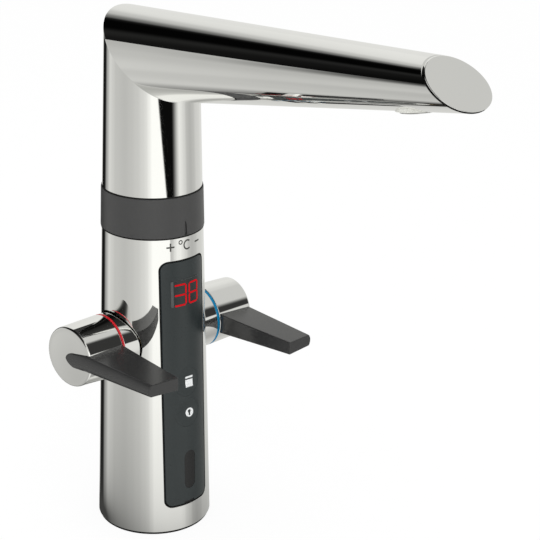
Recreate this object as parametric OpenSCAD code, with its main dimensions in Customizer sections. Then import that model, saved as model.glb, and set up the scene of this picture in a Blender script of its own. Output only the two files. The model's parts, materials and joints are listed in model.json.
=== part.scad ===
// Touchless kitchen mixer tap: tapered body with a control panel, a temperature ring,
// a swivelling spout with a tapering arm, and a hot and a cold lever.
// Origin: centre of the base on the worktop. +Z up, the panel and the spout point to -Y.

/* [Body] */
// Outer radius of the body at the worktop
body_base_r = 30; // [29:0.5:33]
// Taper of the whole column, in degrees a side
body_taper_deg = 1.45; // [1.2:0.05:1.7]
// Height of the chrome body, worktop to the temperature ring
body_h = 163.6; // [160:0.2:180]
// Wall of the chrome body
body_wall = 3; // [2.4:0.1:3.4]
// Thickness of the rubber seal under the base
base_gasket_t = 1.3; // [0.8:0.1:2]
// Thickness of the flange inside the foot of the body
flange_t = 10.7; // [8:0.1:11]

/* [Worktop fixing] */
// Thickness of the worktop that the fixing grips
worktop_t = 40; // [20:1:60]
// Outer radius of the threaded shank
shank_r = 16; // [15:0.5:17]
// Bore radius of the shank, which the hoses pass
shank_bore_r = 12; // [11.8:0.1:12.5]
// Thickness of the rubber ring under the worktop
clamp_gasket_t = 3; // [2:0.5:5]
// Thickness of the steel clamping washer
clamp_washer_t = 3; // [2:0.5:5]
// Outer radius of the clamping washer
clamp_washer_r = 29; // [26:0.5:34]
// Height of the hexagon nut
shank_nut_h = 12; // [8:0.5:18]
// Radius across the corners of the hexagon nut
shank_nut_r = 22; // [20:0.5:26]
// Free thread left below the nut
shank_tail = 5; // [2:0.5:20]

/* [Water body] */
// Gap between the upright of the water body and the carrier of the electronics
water_gap = 3.4; // [3:0.1:4]
// Radius of the side branches that hold the cartridges
branch_r = 11.4; // [11:0.1:11.6]
// Radius of a hose port, an M10 x 1 thread
port_r = 4.2; // [3.6:0.1:4.3]
// Depth of a hose port
port_depth = 8; // [6:0.5:9]
// Distance of the hose ports from the middle
port_circle_r = 6.8; // [6.4:0.1:7.2]
// Radius of the mixing chamber
chamber_r = 6; // [4:0.5:7]
// Height of the solenoid valve's axis
solenoid_z = 60; // [40:1:75]
// Radius of the solenoid coil
solenoid_r = 8; // [6:0.5:9]
// Distance of the temperature probe above the handles' axis
probe_rise = 23.3; // [19:0.1:35]

/* [Temperature ring] */
// Height of the ring
ring_h = 20.45; // [16:0.05:24]
// How far the ring stands proud of the column
ring_proud = 0.5; // [0.3:0.05:0.9]
// Thickness of the ring, from its outside to its bore
ring_wall = 6.8; // [5.5:0.1:7.5]
// Chamfer on the ring's outer edges
ring_chamfer = 0.5; // [0.2:0.05:0.8]
// Height of the pointer groove
pointer_h = 8.3; // [6:0.1:12]
// Width of the pointer groove
pointer_w = 1.7; // [1:0.1:2.4]
// Depth of the pointer groove
pointer_depth = 0.8; // [0.4:0.1:1.2]
// Radius of a ring magnet
magnet_r = 1.5; // [1:0.1:1.8]
// Length of a ring magnet
magnet_h = 3; // [2:0.5:4]

/* [Spout] */
// Height of the arm's axis above the ring
column_h = 66; // [62:0.1:80]
// Length of the arm along its axis, to the middle of its slanted end
arm_len = 197.2; // [180:0.2:230]
// Upward slope of the arm, in degrees
arm_rise = 6.5; // [4:0.5:9]
// Half height of the arm's section at the column
arm_root_h = 22.6; // [21:0.1:23.2]
// Half height of the arm's section at the end
arm_tip_h = 10.6; // [10:0.1:12.5]
// Half width of the arm's section at the end
arm_tip_w = 16.3; // [15.5:0.1:18]
// Slant of the arm's end, in degrees back from square
arm_face_deg = 46.3; // [42:0.1:50]
// Wall of the spout
spout_wall = 2.5; // [2:0.1:2.8]
// Thickness of the end plate
cap_t = 1.6; // [1:0.1:2]
// Thickness of the black shadow gap behind the end plate
cap_gap = 1; // [0.6:0.1:1.4]
// How far the shadow gap is set back from the arm's surface
cap_gap_inset = 0.5; // [0.3:0.1:0.9]
// Distance of the aerator from the middle of the arm's end, along the arm
aerator_back = 21.2; // [20.5:0.1:45]
// Radius of the aerator's housing
aerator_housing_r = 10.8; // [10.2:0.1:11.2]
// Radius of the aerator insert
aerator_r = 9; // [8:0.1:9.4]
// Outer radius of the water pipe in the spout
pipe_r = 5; // [4:0.1:5.4]
// Wall of the water pipe
pipe_wall = 1; // [0.6:0.1:1.4]

/* [Neck] */
// Wall of the bush inside the temperature ring
bush_t = 3; // [2:0.1:3.5]
// Width of the shoulder at the foot of the neck, which the spout turns on
shoulder_w = 3; // [2.5:0.1:3.5]
// Wall of the neck
neck_wall = 5; // [4:0.1:6]
// Height of the neck's straight part above the collar
neck_h = 40; // [36:0.5:41]
// Height of the lower O-ring above the collar
oring_low = 21; // [18:0.5:24]
// Distance between the O-rings
oring_pitch = 13; // [8:0.5:14]
// Thickness of the washer that the spout turns on
thrust_t = 1; // [0.6:0.1:1.6]

/* [Handles] */
// Height of the handles' axis
handle_z = 104.7; // [102:0.1:110]
// Radius of the sleeves, and of the hubs beside them
hub_r = 16.4; // [15.8:0.1:16.9]
// Radius of a hub at its outer end
hub_end_r = 15.6; // [15:0.1:16.4]
// Slant of a hub's outer end, in degrees, its front nearer the body
hub_face_deg = 5.8; // [0:0.1:7]
// How far a sleeve stands out of the body, to the coloured ring
sleeve_out = 2.95; // [2.5:0.05:6]
// Width of a coloured ring
colour_ring_w = 1.55; // [1:0.05:2.5]
// Length of a hub along its axis
hub_len = 22.4; // [22:0.1:28]
// Thickness of a hub's end wall
hub_end_t = 4.75; // [4:0.05:6]
// Radius of a spindle
spindle_r = 3.5; // [3:0.1:4]
// Radius of the cartridge in its seat
cartridge_r = 9.5; // [9:0.1:9.8]
// Radius of the cartridge's neck, which the hub turns on
cartridge_neck_r = 7.5; // [6.5:0.1:8]

/* [Levers] */
// Reach of a lever from the handles' axis
lever_reach = 64.8; // [55:0.1:75]
// How far the outer corner of a lever's end is set back
lever_end_slant = 1.8; // [0:0.1:3]
// How far a lever's inner edge draws away from the body along its reach
lever_inner_draw = 4.6; // [3:0.1:5]
// How far a lever's outer edge stands out from the middle of the hub's end
lever_proud = 0.85; // [0.4:0.05:1.2]
// Angle at which a lever's outer edge draws in, in degrees
lever_outer_deg = 1.8; // [0:0.1:4]
// Radius of a lever's rounded outer side
lever_round_r = 4.6; // [4.3:0.1:6]
// Height of a lever's top face above the axis
lever_top = 5.2; // [4.4:0.1:5.6]
// Depth of a lever's underside below the axis, at the hub
lever_bottom = 3.1; // [2.6:0.1:4]
// Thickness of a lever's end
lever_tip_t = 6.1; // [4.5:0.1:7]
// How far a lever's top face falls towards its end
lever_top_fall = 0.4; // [0:0.1:1]

/* [Control panel] */
// Width of the panel
panel_w = 27.2; // [26:0.1:28.4]
// Height of the panel's lower edge
panel_z = 15.4; // [15:0.1:18]
// Height of the chrome between the panel and the temperature ring
panel_top_gap = 12.4; // [10:0.1:14]
// Corner radius of the panel
panel_corner_r = 4; // [2:0.1:5]
// Thickness of the panel
panel_t = 2.2; // [1.8:0.1:2.4]
// Width of the seal round the panel
panel_seal_w = 0.5; // [0.3:0.05:0.8]
// Width of the release tab
latch_w = 6.2; // [4:0.1:8]
// Height of the release tab
latch_h = 1.1; // [1:0.1:1.3]

/* [Display, buttons and sensor] */
// Width of the display window
display_w = 17.7; // [17.4:0.1:21]
// Height of the display window
display_h = 13.9; // [13:0.1:17]
// Distance of the display's middle below the panel's upper edge
display_drop = 17.1; // [13:0.1:19]
// Height of a figure on the display
digit_h = 11.9; // [9:0.1:12]
// Width of a figure
digit_w = 6.9; // [5:0.1:7]
// Stroke of a figure
digit_stroke = 1.2; // [0.8:0.1:1.4]
// Distance between the figures' middles
digit_pitch = 8.7; // [8.5:0.1:9.4]
// Distance of the figures' middle below the display's middle
digit_fall = 0.4; // [0:0.1:0.5]
// Radius of a push button
button_r = 7; // [6:0.1:7.2]
// Distance of the upper button below the display's middle
button_drop = 49.3; // [45:0.1:50]
// Distance between the buttons
button_pitch = 17.2; // [16:0.1:22]
// Travel of a button
button_travel = 0.8; // [0.5:0.1:1]
// Radius of a button's stem
button_stem_r = 2.5; // [2:0.1:3]
// Width of the sensor window
sensor_w = 7.4; // [6:0.1:8.5]
// Height of the sensor window
sensor_h = 24.5; // [20:0.1:27]
// Distance of the sensor window's middle above the panel's lower edge
sensor_rise = 19.7; // [18:0.1:25]

/* [Clearances] */
// Gap between the turning outer parts
turn_gap = 0.35; // [0.3:0.05:0.5]
// Radial clearance of a running fit
run_fit = 0.06; // [0.03:0.01:0.09]
// Clearance between pieces of one assembly
seat_fit = 0.1; // [0.06:0.01:0.15]

/* [Hidden] */
$fn = 96;

// Colours, as the photo shows them
chrome = "gainsboro";
brass = "goldenrod";
steel = "silver";
rubber = "dimgray";
charcoal = "darkslategray";
dark_grey = "gray";
panel_dark = "darkslateblue";
polymer = "whitesmoke";

// The column: one straight taper from the worktop to the arm
taper = tan(body_taper_deg);
function body_r(z) = body_base_r - z * taper;
over = 1;

// Heights up the column
flange_z1 = base_gasket_t + flange_t;
foot_t = 4;
foot_margin = 2.2;
foot_z1 = flange_z1 + foot_t;
foot_r = body_r(foot_z1) - body_wall - foot_margin;
ring_z0 = body_h + turn_gap;
ring_z1 = ring_z0 + ring_h;
spout_z0 = ring_z1 + turn_gap;
arm_z = spout_z0 + column_h;
neck_flange_t = 4.6;
neck_flange_z0 = body_h - neck_flange_t;
collar_z1 = ring_z1 + 0.55;
thrust_z1 = collar_z1 + thrust_t;
neck_z1 = collar_z1 + neck_h;
socket_bore_z1 = neck_z1 + 0.5;
socket_z1 = socket_bore_z1 + 5;
neck_flange_r = body_r(body_h) - body_wall - seat_fit;
// Radii inside the temperature ring, from the ring inwards
ring_bore_r = body_r(ring_z1) + ring_proud - ring_wall;
collar_r = ring_bore_r - run_fit - bush_t;
neck_r = collar_r - shoulder_w;
neck_bore_r = neck_r - neck_wall;

// Screws: shank radii, the holes they pass and their hexagon sockets
base_screw_angles = [30, 150, 210, 330];
base_screw_r = 1.6;
base_screw_head_r = 2.9;
base_screw_head_h = 3;
base_screw_z0 = base_gasket_t + 3;
grub_r = 2;
grub_socket_r = 1.15;
spout_screw_r = 2.5;
spout_screw_socket_r = 1.4;
screw_fit = 0.05;
socket_depth = 2;
shell_screw_z = base_gasket_t + 5;
shell_screw_y0 = shank_r + 4;
shell_screw_y1 = body_r(shell_screw_z) - 0.7;

// The fixing under the worktop
base_gasket_inset = 0.8;
clamp_gasket_z0 = -worktop_t - clamp_gasket_t;
clamp_washer_z0 = clamp_gasket_z0 - clamp_washer_t;
shank_nut_z0 = clamp_washer_z0 - shank_nut_h;
shank_z0 = shank_nut_z0 - shank_tail;
port_z0 = -port_depth - over;
spigot_step = 0.6;

// The arm: an elliptical cone that meets the column in a mitre
aerator_x = arm_len - aerator_back;
arm_root_w = body_r(arm_z);
arm_k_h = (arm_tip_h - arm_root_h) / arm_len;
arm_k_w = (arm_tip_w - arm_root_w) / arm_len;
function arm_h(x) = arm_root_h + arm_k_h * x;
function arm_w(x) = arm_root_w + arm_k_w * x;
arm_under_deg = -atan(arm_k_h);
arm_cos = cos(arm_rise);
arm_sin = sin(arm_rise);
// Where the arm's lowest line meets the column's front line, and its highest the back line
front_x = (body_base_r - taper * (arm_z - arm_root_h * arm_cos) - arm_root_h * arm_sin)
    / (arm_cos + arm_k_h * arm_sin + taper * (arm_sin - arm_k_h * arm_cos));
front_y = -front_x * arm_cos - arm_h(front_x) * arm_sin;
front_z = arm_z + front_x * arm_sin - arm_h(front_x) * arm_cos;
rear_x = (body_base_r - taper * (arm_z + arm_root_h * arm_cos) - arm_root_h * arm_sin)
    / (-arm_cos + arm_k_h * arm_sin + taper * (arm_sin + arm_k_h * arm_cos));
rear_y = -rear_x * arm_cos + arm_h(rear_x) * arm_sin;
rear_z = arm_z + rear_x * arm_sin + arm_h(rear_x) * arm_cos;
mitre_deg = atan2(rear_z - front_z, rear_y - front_y);
arm_facets = 120;
arm_back = 40;
arm_end = arm_len + 40;
big = 500;

// The aerator's housing, measured along its axis from the arm's lowest line
aerator_housing_h = 14;
aerator_recess = 0.9;
aerator_seat_h = 10;
aerator_t = 3.9;
aerator_cut_h = 8;

// The water pipe runs up the column, turns in an elbow and follows the arm to the aerator
pipe_in_housing = 8.5;
pipe_elbow_step = 0.7;
pipe_drop = arm_h(aerator_x) - pipe_in_housing;
pipe_corner_z = arm_z - pipe_drop / arm_cos;
pipe_corner_x = -pipe_drop * arm_sin / arm_cos;
pipe_end_x = aerator_x - aerator_housing_r / cos(arm_under_deg) - seat_fit
    - (pipe_in_housing + pipe_r) * tan(arm_under_deg);
pipe_z0 = socket_bore_z1 + 0.5;

// The panel and what shows in it
panel_h = body_h - panel_top_gap - panel_z;
panel_z1 = panel_z + panel_h;
display_z = panel_z1 - display_drop;
display_corner_r = 0.8;
button_upper_z = display_z - button_drop;
button_lower_z = button_upper_z - button_pitch;
button_gap = 0.3;
sensor_z = panel_z + sensor_rise;
latch_z0 = panel_z + seat_fit;
latch_z1 = latch_z0 + latch_h;
latch_spring_y = sqrt(pow(body_r(latch_z1) - body_wall, 2) - pow(latch_w / 2, 2)) - seat_fit;

// The electronics, from the front backwards
carrier_depth = 10.7;
carrier_side_gap = 0.6;
carrier_end_gap = 1.5;
carrier_back = body_r(panel_z1) - carrier_depth;
board_t = 1.6;
board_setback = 2.1;
board_cover = 1.8;
board_front = carrier_back + board_setback;
carrier_floor = board_front + board_cover;
board_margin = 2;
display_front = body_r(display_z);
digit_depth = 0.4;
stem_end = board_front + button_travel + 0.3;
switch_h = 0.25;
carrier_w = panel_w - 2 * carrier_side_gap;
carrier_z0 = panel_z + carrier_end_gap;
carrier_z1 = panel_z1 - carrier_end_gap;

// What the water body carries
water_r = carrier_back - water_gap;
probe_z = handle_z + probe_rise;
solenoid_face = water_r + 1;
solenoid_core_r = 3;
solenoid_coil_len = 8;
solenoid_len = 9.5;
probe_r = 3;
probe_head_r = 4.2;
probe_head_t = 1.55;

// The handles, from the body outwards along X
hub_body_r = body_r(handle_z);
branch_setback = 5.35;
branch_x1 = hub_body_r - branch_setback;
sleeve_x1 = hub_body_r + sleeve_out;
colour_ring_x1 = sleeve_x1 + colour_ring_w;
hub_turn_gap = 0.3;
hub_x0 = colour_ring_x1 + hub_turn_gap;
hub_x1 = hub_x0 + hub_len;
hub_end_x = hub_x1 - hub_end_t;
sleeve_lip_t = 2;
sleeve_lip_fit = 0.2;
sleeve_wall = 4.3;
cartridge_seat_x = 10;
cartridge_flange_x0 = branch_x1 + sleeve_lip_t + 0.05;
cartridge_flange_t = 4;
cartridge_x1 = hub_x0 + 3.85;
spindle_x0 = cartridge_x1 - 6;
spindle_bore_x0 = cartridge_x1 + 1.5;
spindle_fit = 0.02;
hub_wall = 3.2;
hub_boss_r = 10;
hub_lever_gap = 0.05;
hub_screw_x = (spindle_bore_x0 + hub_end_x) / 2;

// The levers: heights of the outer side's middle and of the end's top, the nose and the root
lever_nose_r = (lever_top + lever_bottom) / 2;
lever_nose_y = 2.5;
lever_nose_z = handle_z + (lever_top - lever_bottom) / 2;
lever_mid_rise = 0.3;
lever_mid_z = lever_nose_z + lever_mid_rise;
lever_tip_z1 = handle_z + lever_top - lever_top_fall;
lever_root_x = 4;
lever_root_in = 0.7;
lever_root_skin = 1.5;
lever_root_gap = 0.5;
lever_lap = 3;
tongue_floor = 1.2;
tongue_lap = 2;
sleeve_bore_r = hub_r - sleeve_wall;

// Part of the column between two heights, drawn in by inset
module cone_solid(z0, z1, inset = 0) {
    translate([0, 0, z0])
        cylinder(h = z1 - z0, r1 = body_r(z0) - inset, r2 = body_r(z1) - inset);
}

// A skin of the column between two depths under its surface
module cone_skin(z0, z1, outer, inner) {
    difference() {
        cone_solid(z0, z1, outer);
        cone_solid(z0 - over, z1 + over, inner);
    }
}

// An outline drawn in X and Z, pushed to the front from depth a to depth b
module to_front(a, b) {
    translate([0, -a, 0])
        rotate([90, 0, 0])
            linear_extrude(b - a)
                children();
}

// A cylinder along X from x0 to x1 on the handles' axis
module along_x(x0, x1, r, facets = 96) {
    translate([x0, 0, handle_z])
        rotate([0, 90, 0])
            cylinder(h = x1 - x0, r = r, $fn = facets);
}

// A cylinder along Y at height z, from depth a to depth b in front of the axis
module front_cylinder(z, a, b, r) {
    translate([0, -a, z])
        rotate([90, 0, 0])
            cylinder(h = b - a, r = r);
}

module round_rect(w, h, r) {
    square([w - 2 * r, h], center = true);
    square([w, h - 2 * r], center = true);
    for (x = [-1, 1], y = [-1, 1])
        translate([x * (w / 2 - r), y * (h / 2 - r)])
            circle(r);
}

module obround(w, h) {
    square([w, h - w], center = true);
    for (y = [-1, 1])
        translate([0, y * (h - w) / 2])
            circle(w / 2);
}

module tube(z0, z1, outer, inner) {
    difference() {
        translate([0, 0, z0])
            cylinder(h = z1 - z0, r = outer);
        translate([0, 0, z0 - over])
            cylinder(h = z1 - z0 + 2 * over, r = inner);
    }
}

module base_gasket() {
    color(rubber)
        tube(0, base_gasket_t, body_base_r - base_gasket_inset, shank_r + seat_fit);
}

module at_base_screws() {
    for (a = base_screw_angles)
        rotate([0, 0, a])
            translate([(shank_r + foot_r) / 2, 0, 0])
                children();
}

module base_flange() {
    color(brass)
        difference() {
            tube(base_gasket_t, flange_z1, body_r(flange_z1) - body_wall - seat_fit, shank_r + seat_fit / 2);
            at_base_screws()
                translate([0, 0, base_gasket_t - over])
                    cylinder(h = flange_t + 2 * over, r = base_screw_r + screw_fit);
            translate([0, shell_screw_y0 - 2, shell_screw_z])
                rotate([-90, 0, 0])
                    cylinder(h = body_base_r, r = grub_r + screw_fit);
        }
}

// A grub screw along Y with its hexagon socket at the far end
module grub_screw(y0, y1, z, r, socket_r) {
    translate([0, y0, z])
        rotate([-90, 0, 0])
            difference() {
                cylinder(h = y1 - y0, r = r);
                translate([0, 0, y1 - y0 - socket_depth])
                    cylinder(h = 2 * socket_depth, r = socket_r, $fn = 6);
            }
}

module shell_screw() {
    color(steel)
        grub_screw(shell_screw_y0, shell_screw_y1, shell_screw_z, grub_r, grub_socket_r);
}

module base_screws() {
    color(steel)
        at_base_screws() {
            translate([0, 0, base_screw_z0])
                cylinder(h = foot_z1 - base_screw_z0, r = base_screw_r);
            difference() {
                translate([0, 0, foot_z1])
                    cylinder(h = base_screw_head_h, r = base_screw_head_r);
                translate([0, 0, foot_z1 + base_screw_head_h / 2])
                    cylinder(h = base_screw_head_h, r = base_screw_head_r / 2, $fn = 6);
            }
        }
}

module mounting_shank() {
    color(brass)
        difference() {
            tube(shank_z0, flange_z1, shank_r, shank_bore_r);
            translate([0, 0, port_z0])
                cylinder(h = flange_z1 - port_z0 + over, r = shank_bore_r + spigot_step);
        }
}

module clamp_gasket() {
    color(rubber)
        tube(clamp_gasket_z0, -worktop_t, clamp_washer_r - 0.5, shank_r + seat_fit);
}

module clamp_washer() {
    color(steel)
        tube(clamp_washer_z0, clamp_gasket_z0, clamp_washer_r, shank_r + seat_fit);
}

module shank_nut() {
    color(brass)
        difference() {
            translate([0, 0, shank_nut_z0])
                cylinder(h = shank_nut_h, r = shank_nut_r, $fn = 6);
            translate([0, 0, shank_nut_z0 - over])
                cylinder(h = shank_nut_h + 2 * over, r = shank_r + seat_fit / 2);
        }
}

module panel_outline(grow = 0) {
    translate([0, panel_z + panel_h / 2])
        round_rect(panel_w + 2 * grow, panel_h + 2 * grow, panel_corner_r + grow);
}

module body_shell() {
    color(chrome)
        difference() {
            cone_skin(base_gasket_t, body_h, 0, body_wall);
            along_x(-2 * body_base_r, 2 * body_base_r, hub_r + seat_fit);
            to_front(body_r(body_h) / 2, body_base_r + over)
                panel_outline(panel_seal_w + seat_fit);
            translate([0, 0, shell_screw_z])
                rotate([-90, 0, 0])
                    cylinder(h = body_base_r + over, r = grub_r + seat_fit);
        }
}

ports = [[-0.866, 0.5], [0.866, 0.5], [0, -1]];

module water_body() {
    color(brass)
        difference() {
            union() {
                translate([0, 0, port_z0])
                    cylinder(h = flange_z1 - port_z0, r = shank_bore_r + spigot_step - seat_fit);
                translate([0, 0, flange_z1])
                    cylinder(h = foot_t, r = foot_r);
                translate([0, 0, foot_z1])
                    cylinder(h = neck_flange_z0 - foot_z1, r = water_r);
                along_x(-branch_x1, branch_x1, branch_r);
                translate([0, 0, solenoid_z])
                    rotate([-90, 0, 0])
                        cylinder(h = solenoid_face, r = solenoid_r - 1);
            }
            for (p = ports)
                translate([p[0] * port_circle_r, p[1] * port_circle_r, port_z0 - over])
                    cylinder(h = port_depth + over, r = port_r);
            for (s = [0, 1])
                mirror([s, 0, 0])
                    along_x(cartridge_seat_x, branch_x1 + over, cartridge_r + seat_fit / 2);
            translate([0, 0, handle_z + branch_r])
                cylinder(h = body_h, r = chamber_r);
            front_cylinder(probe_z, 0, water_r + over, probe_r + seat_fit / 2);
            at_base_screws()
                translate([0, 0, flange_z1 - over])
                    cylinder(h = foot_t + 2 * over, r = base_screw_r + screw_fit);
        }
}

module solenoid_valve() {
    color(charcoal)
        translate([0, solenoid_face, solenoid_z])
            rotate([-90, 0, 0]) {
                cylinder(h = solenoid_coil_len, r = solenoid_r);
                cylinder(h = solenoid_len, r = solenoid_core_r);
            }
}

module temperature_probe() {
    color(steel)
        union() {
            front_cylinder(probe_z, chamber_r - 2, water_r + probe_head_t, probe_r);
            front_cylinder(probe_z, water_r + screw_fit, water_r + probe_head_t, probe_head_r);
        }
}

neck_groove_r = neck_r - 1.6;
oring_r = 0.78;
oring_zs = [collar_z1 + oring_low, collar_z1 + oring_low + oring_pitch];
screw_groove_z = spout_z0 + 8;

module groove(z, h) {
    difference() {
        translate([0, 0, z - h / 2])
            cylinder(h = h, r = neck_r + over);
        translate([0, 0, z - h / 2 - over])
            cylinder(h = h + 2 * over, r = neck_groove_r);
    }
}

module neck() {
    color(brass)
        difference() {
            union() {
                translate([0, 0, neck_flange_z0])
                    cylinder(h = neck_flange_t, r = neck_flange_r);
                translate([0, 0, body_h])
                    cylinder(h = collar_z1 - body_h, r = collar_r);
                translate([0, 0, collar_z1])
                    cylinder(h = neck_h, r = neck_r);
            }
            translate([0, 0, neck_flange_z0 - over])
                cylinder(h = neck_z1 - neck_flange_z0 + 2 * over, r = neck_bore_r);
            groove(screw_groove_z, 6.4);
            for (z = oring_zs)
                groove(z, 2 * oring_r + 0.1);
        }
}

module neck_orings() {
    color(rubber)
        for (z = oring_zs)
            translate([0, 0, z])
                rotate_extrude()
                    translate([neck_r - oring_r - 0.03, 0])
                        circle(oring_r, $fn = 32);
}

module thrust_washer() {
    color(polymer)
        tube(collar_z1, thrust_z1, collar_r, neck_r + run_fit);
}

module ring_bush() {
    color(polymer)
        tube(body_h, ring_z1, collar_r + bush_t, collar_r + 0.03);
}

module position_sensor() {
    color(charcoal)
        translate([-3, -carrier_back - 2, neck_flange_z0 - 4])
            cube([6, 5, 4]);
}

module at_magnets() {
    for (a = [0, 180])
        rotate([0, 0, a])
            translate([(collar_r + bush_t + body_r(ring_z0)) / 2, 0, ring_z0])
                children();
}

module temperature_ring() {
    bottom_r = body_r(ring_z0) + ring_proud;
    top_r = body_r(ring_z1) + ring_proud;
    color(dark_grey)
        difference() {
            rotate_extrude($fn = 128)
                polygon([
                    [ring_bore_r, ring_z0],
                    [bottom_r - ring_chamfer, ring_z0],
                    [bottom_r, ring_z0 + ring_chamfer],
                    [top_r, ring_z1 - ring_chamfer],
                    [top_r - ring_chamfer, ring_z1],
                    [ring_bore_r, ring_z1]]);
            to_front(bottom_r - pointer_depth, bottom_r + over)
                polygon([
                    [-pointer_w / 2, ring_z0 - over],
                    [pointer_w / 2, ring_z0 - over],
                    [pointer_w / 2, ring_z0 + pointer_h - pointer_w],
                    [0, ring_z0 + pointer_h],
                    [-pointer_w / 2, ring_z0 + pointer_h - pointer_w]]);
            at_magnets()
                translate([0, 0, -over])
                    cylinder(h = magnet_h + over, r = magnet_r + seat_fit / 2);
        }
}

module ring_magnets() {
    color(steel)
        at_magnets()
            translate([0, 0, 0.2])
                cylinder(h = magnet_h - 0.2, r = magnet_r);
}

// The arm's own frame: Z along the arm, Y to its upper side
module arm_frame() {
    translate([0, 0, arm_z])
        rotate([90 - arm_rise, 0, 0])
            children();
}

// The slanted end: Z out of the end plate
module face_frame() {
    arm_frame()
        translate([0, 0, arm_len])
            rotate([-arm_face_deg, 0, 0])
                children();
}

// The aerator's frame: on the arm's lowest line, Z out of the spout
module aerator_frame() {
    arm_frame()
        translate([0, -arm_h(aerator_x), aerator_x])
            rotate([90 - arm_under_deg, 0, 0])
                children();
}

module arm_solid(inset) {
    arm_frame()
        translate([0, 0, -arm_back])
            linear_extrude(
                height = arm_end + arm_back,
                scale = [
                    (arm_w(arm_end) - inset) / (arm_w(-arm_back) - inset),
                    (arm_h(arm_end) - inset) / (arm_h(-arm_back) - inset)],
                slices = 1)
                scale([arm_w(-arm_back) - inset, arm_h(-arm_back) - inset])
                    circle(1, $fn = arm_facets);
}

// All space on the arm's side of the mitre
module arm_side() {
    translate([0, front_y, front_z])
        rotate([mitre_deg, 0, 0])
            translate([-big / 2, -big / 2, 0])
                cube(big);
}

// The spout's column, in the same facets as the arm so that they meet in clean edges
module column_solid(z0, inset) {
    z1 = arm_z + 2 * arm_root_h;
    translate([0, 0, z0])
        linear_extrude(height = z1 - z0, scale = (body_r(z1) - inset) / (body_r(z0) - inset), slices = 1)
            circle(body_r(z0) - inset, $fn = arm_facets);
}

module column_and_arm(inset, z0) {
    difference() {
        column_solid(z0, inset);
        arm_side();
    }
    intersection() {
        arm_solid(inset);
        arm_side();
    }
}

// A slab parallel to the end plate, between two depths behind its face
module face_slab(deep, shallow) {
    face_frame()
        translate([-big / 4, -big / 4, -deep])
            cube([big / 2, big / 2, deep - shallow]);
}

module spout() {
    color(chrome)
        difference() {
            column_and_arm(0, spout_z0);
            column_and_arm(spout_wall, spout_z0 - over);
            face_slab(cap_t + cap_gap, -big / 2);
            aerator_frame()
                translate([0, 0, -aerator_cut_h])
                    cylinder(h = 2 * aerator_cut_h, r = aerator_housing_r + seat_fit);
            translate([0, 0, screw_groove_z])
                rotate([-90, 0, 0])
                    cylinder(h = body_base_r, r = spout_screw_r + seat_fit);
        }
}

module spout_cap() {
    color(chrome)
        intersection() {
            arm_solid(0);
            face_slab(cap_t, 0);
        }
}

module spout_gasket() {
    color(rubber)
        intersection() {
            arm_solid(cap_gap_inset);
            face_slab(cap_t + cap_gap, cap_t);
        }
}

module spout_socket() {
    color(brass)
        difference() {
            cone_solid(thrust_z1, socket_z1, spout_wall + 0.05);
            translate([0, 0, thrust_z1 - over])
                cylinder(h = socket_bore_z1 - thrust_z1 + over, r = neck_r + run_fit);
            translate([0, 0, thrust_z1])
                cylinder(h = big, r = pipe_r + 0.05);
            translate([0, 0, screw_groove_z])
                rotate([-90, 0, 0])
                    cylinder(h = body_base_r, r = spout_screw_r + screw_fit);
        }
}

module spout_screw() {
    color(steel)
        grub_screw(neck_groove_r + 0.6, body_r(screw_groove_z) - 0.8, screw_groove_z,
            spout_screw_r, spout_screw_socket_r);
}

module pipe_path(r) {
    translate([0, 0, pipe_z0])
        cylinder(h = pipe_corner_z - pipe_z0, r = r);
    translate([0, 0, pipe_corner_z])
        sphere(r + pipe_elbow_step);
    arm_frame()
        translate([0, -pipe_drop, pipe_corner_x])
            cylinder(h = pipe_end_x - pipe_corner_x, r = r);
}

module spout_waterway() {
    color(polymer)
        difference() {
            pipe_path(pipe_r);
            pipe_path(pipe_r - pipe_wall);
        }
}

module aerator_socket() {
    color(polymer)
        aerator_frame()
            difference() {
                translate([0, 0, -aerator_housing_h])
                    cylinder(h = aerator_housing_h - aerator_recess, r = aerator_housing_r);
                translate([0, 0, -aerator_seat_h])
                    cylinder(h = aerator_seat_h + over, r = aerator_r + seat_fit / 2);
                translate([0, 0, -pipe_in_housing])
                    rotate([90, 0, 0])
                        cylinder(h = 2 * aerator_housing_r, r = pipe_r - pipe_wall);
            }
}

module aerator() {
    color(steel)
        aerator_frame()
            difference() {
                translate([0, 0, -aerator_t - seat_fit])
                    cylinder(h = aerator_t, r = aerator_r);
                for (i = [0:2], j = [0:5 + 6 * i])
                    rotate([0, 0, j * 360 / (6 + 6 * i)])
                        translate([2 + 2.2 * i, 0, -5])
                            cylinder(h = 7, r = 0.6, $fn = 16);
            }
}

// The handles are written for the cold side (+X) and mirrored for the hot side

module both_sides(hot) {
    mirror([hot ? 1 : 0, 0, 0])
        children();
}

module sleeve() {
    color(chrome)
        difference() {
            along_x(branch_x1, sleeve_x1, hub_r);
            along_x(branch_x1 - over, sleeve_x1 + over, cartridge_r + sleeve_lip_fit);
            along_x(branch_x1 + sleeve_lip_t, sleeve_x1 + over, sleeve_bore_r);
        }
}

module colour_ring(paint) {
    color(paint)
        difference() {
            along_x(sleeve_x1, colour_ring_x1, hub_r);
            along_x(sleeve_x1 - over, colour_ring_x1 + over, sleeve_bore_r);
        }
}

module cartridge() {
    color(brass)
        difference() {
            union() {
                along_x(cartridge_seat_x + 0.1, cartridge_flange_x0, cartridge_r);
                along_x(cartridge_flange_x0, cartridge_flange_x0 + cartridge_flange_t, branch_r, 6);
                along_x(cartridge_flange_x0 + cartridge_flange_t, cartridge_x1, cartridge_neck_r);
            }
            along_x(spindle_x0 - 0.1, cartridge_x1 + over, spindle_r + run_fit);
        }
}

module spindle() {
    color(steel)
        along_x(spindle_x0, hub_end_x - 0.1, spindle_r);
}

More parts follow.
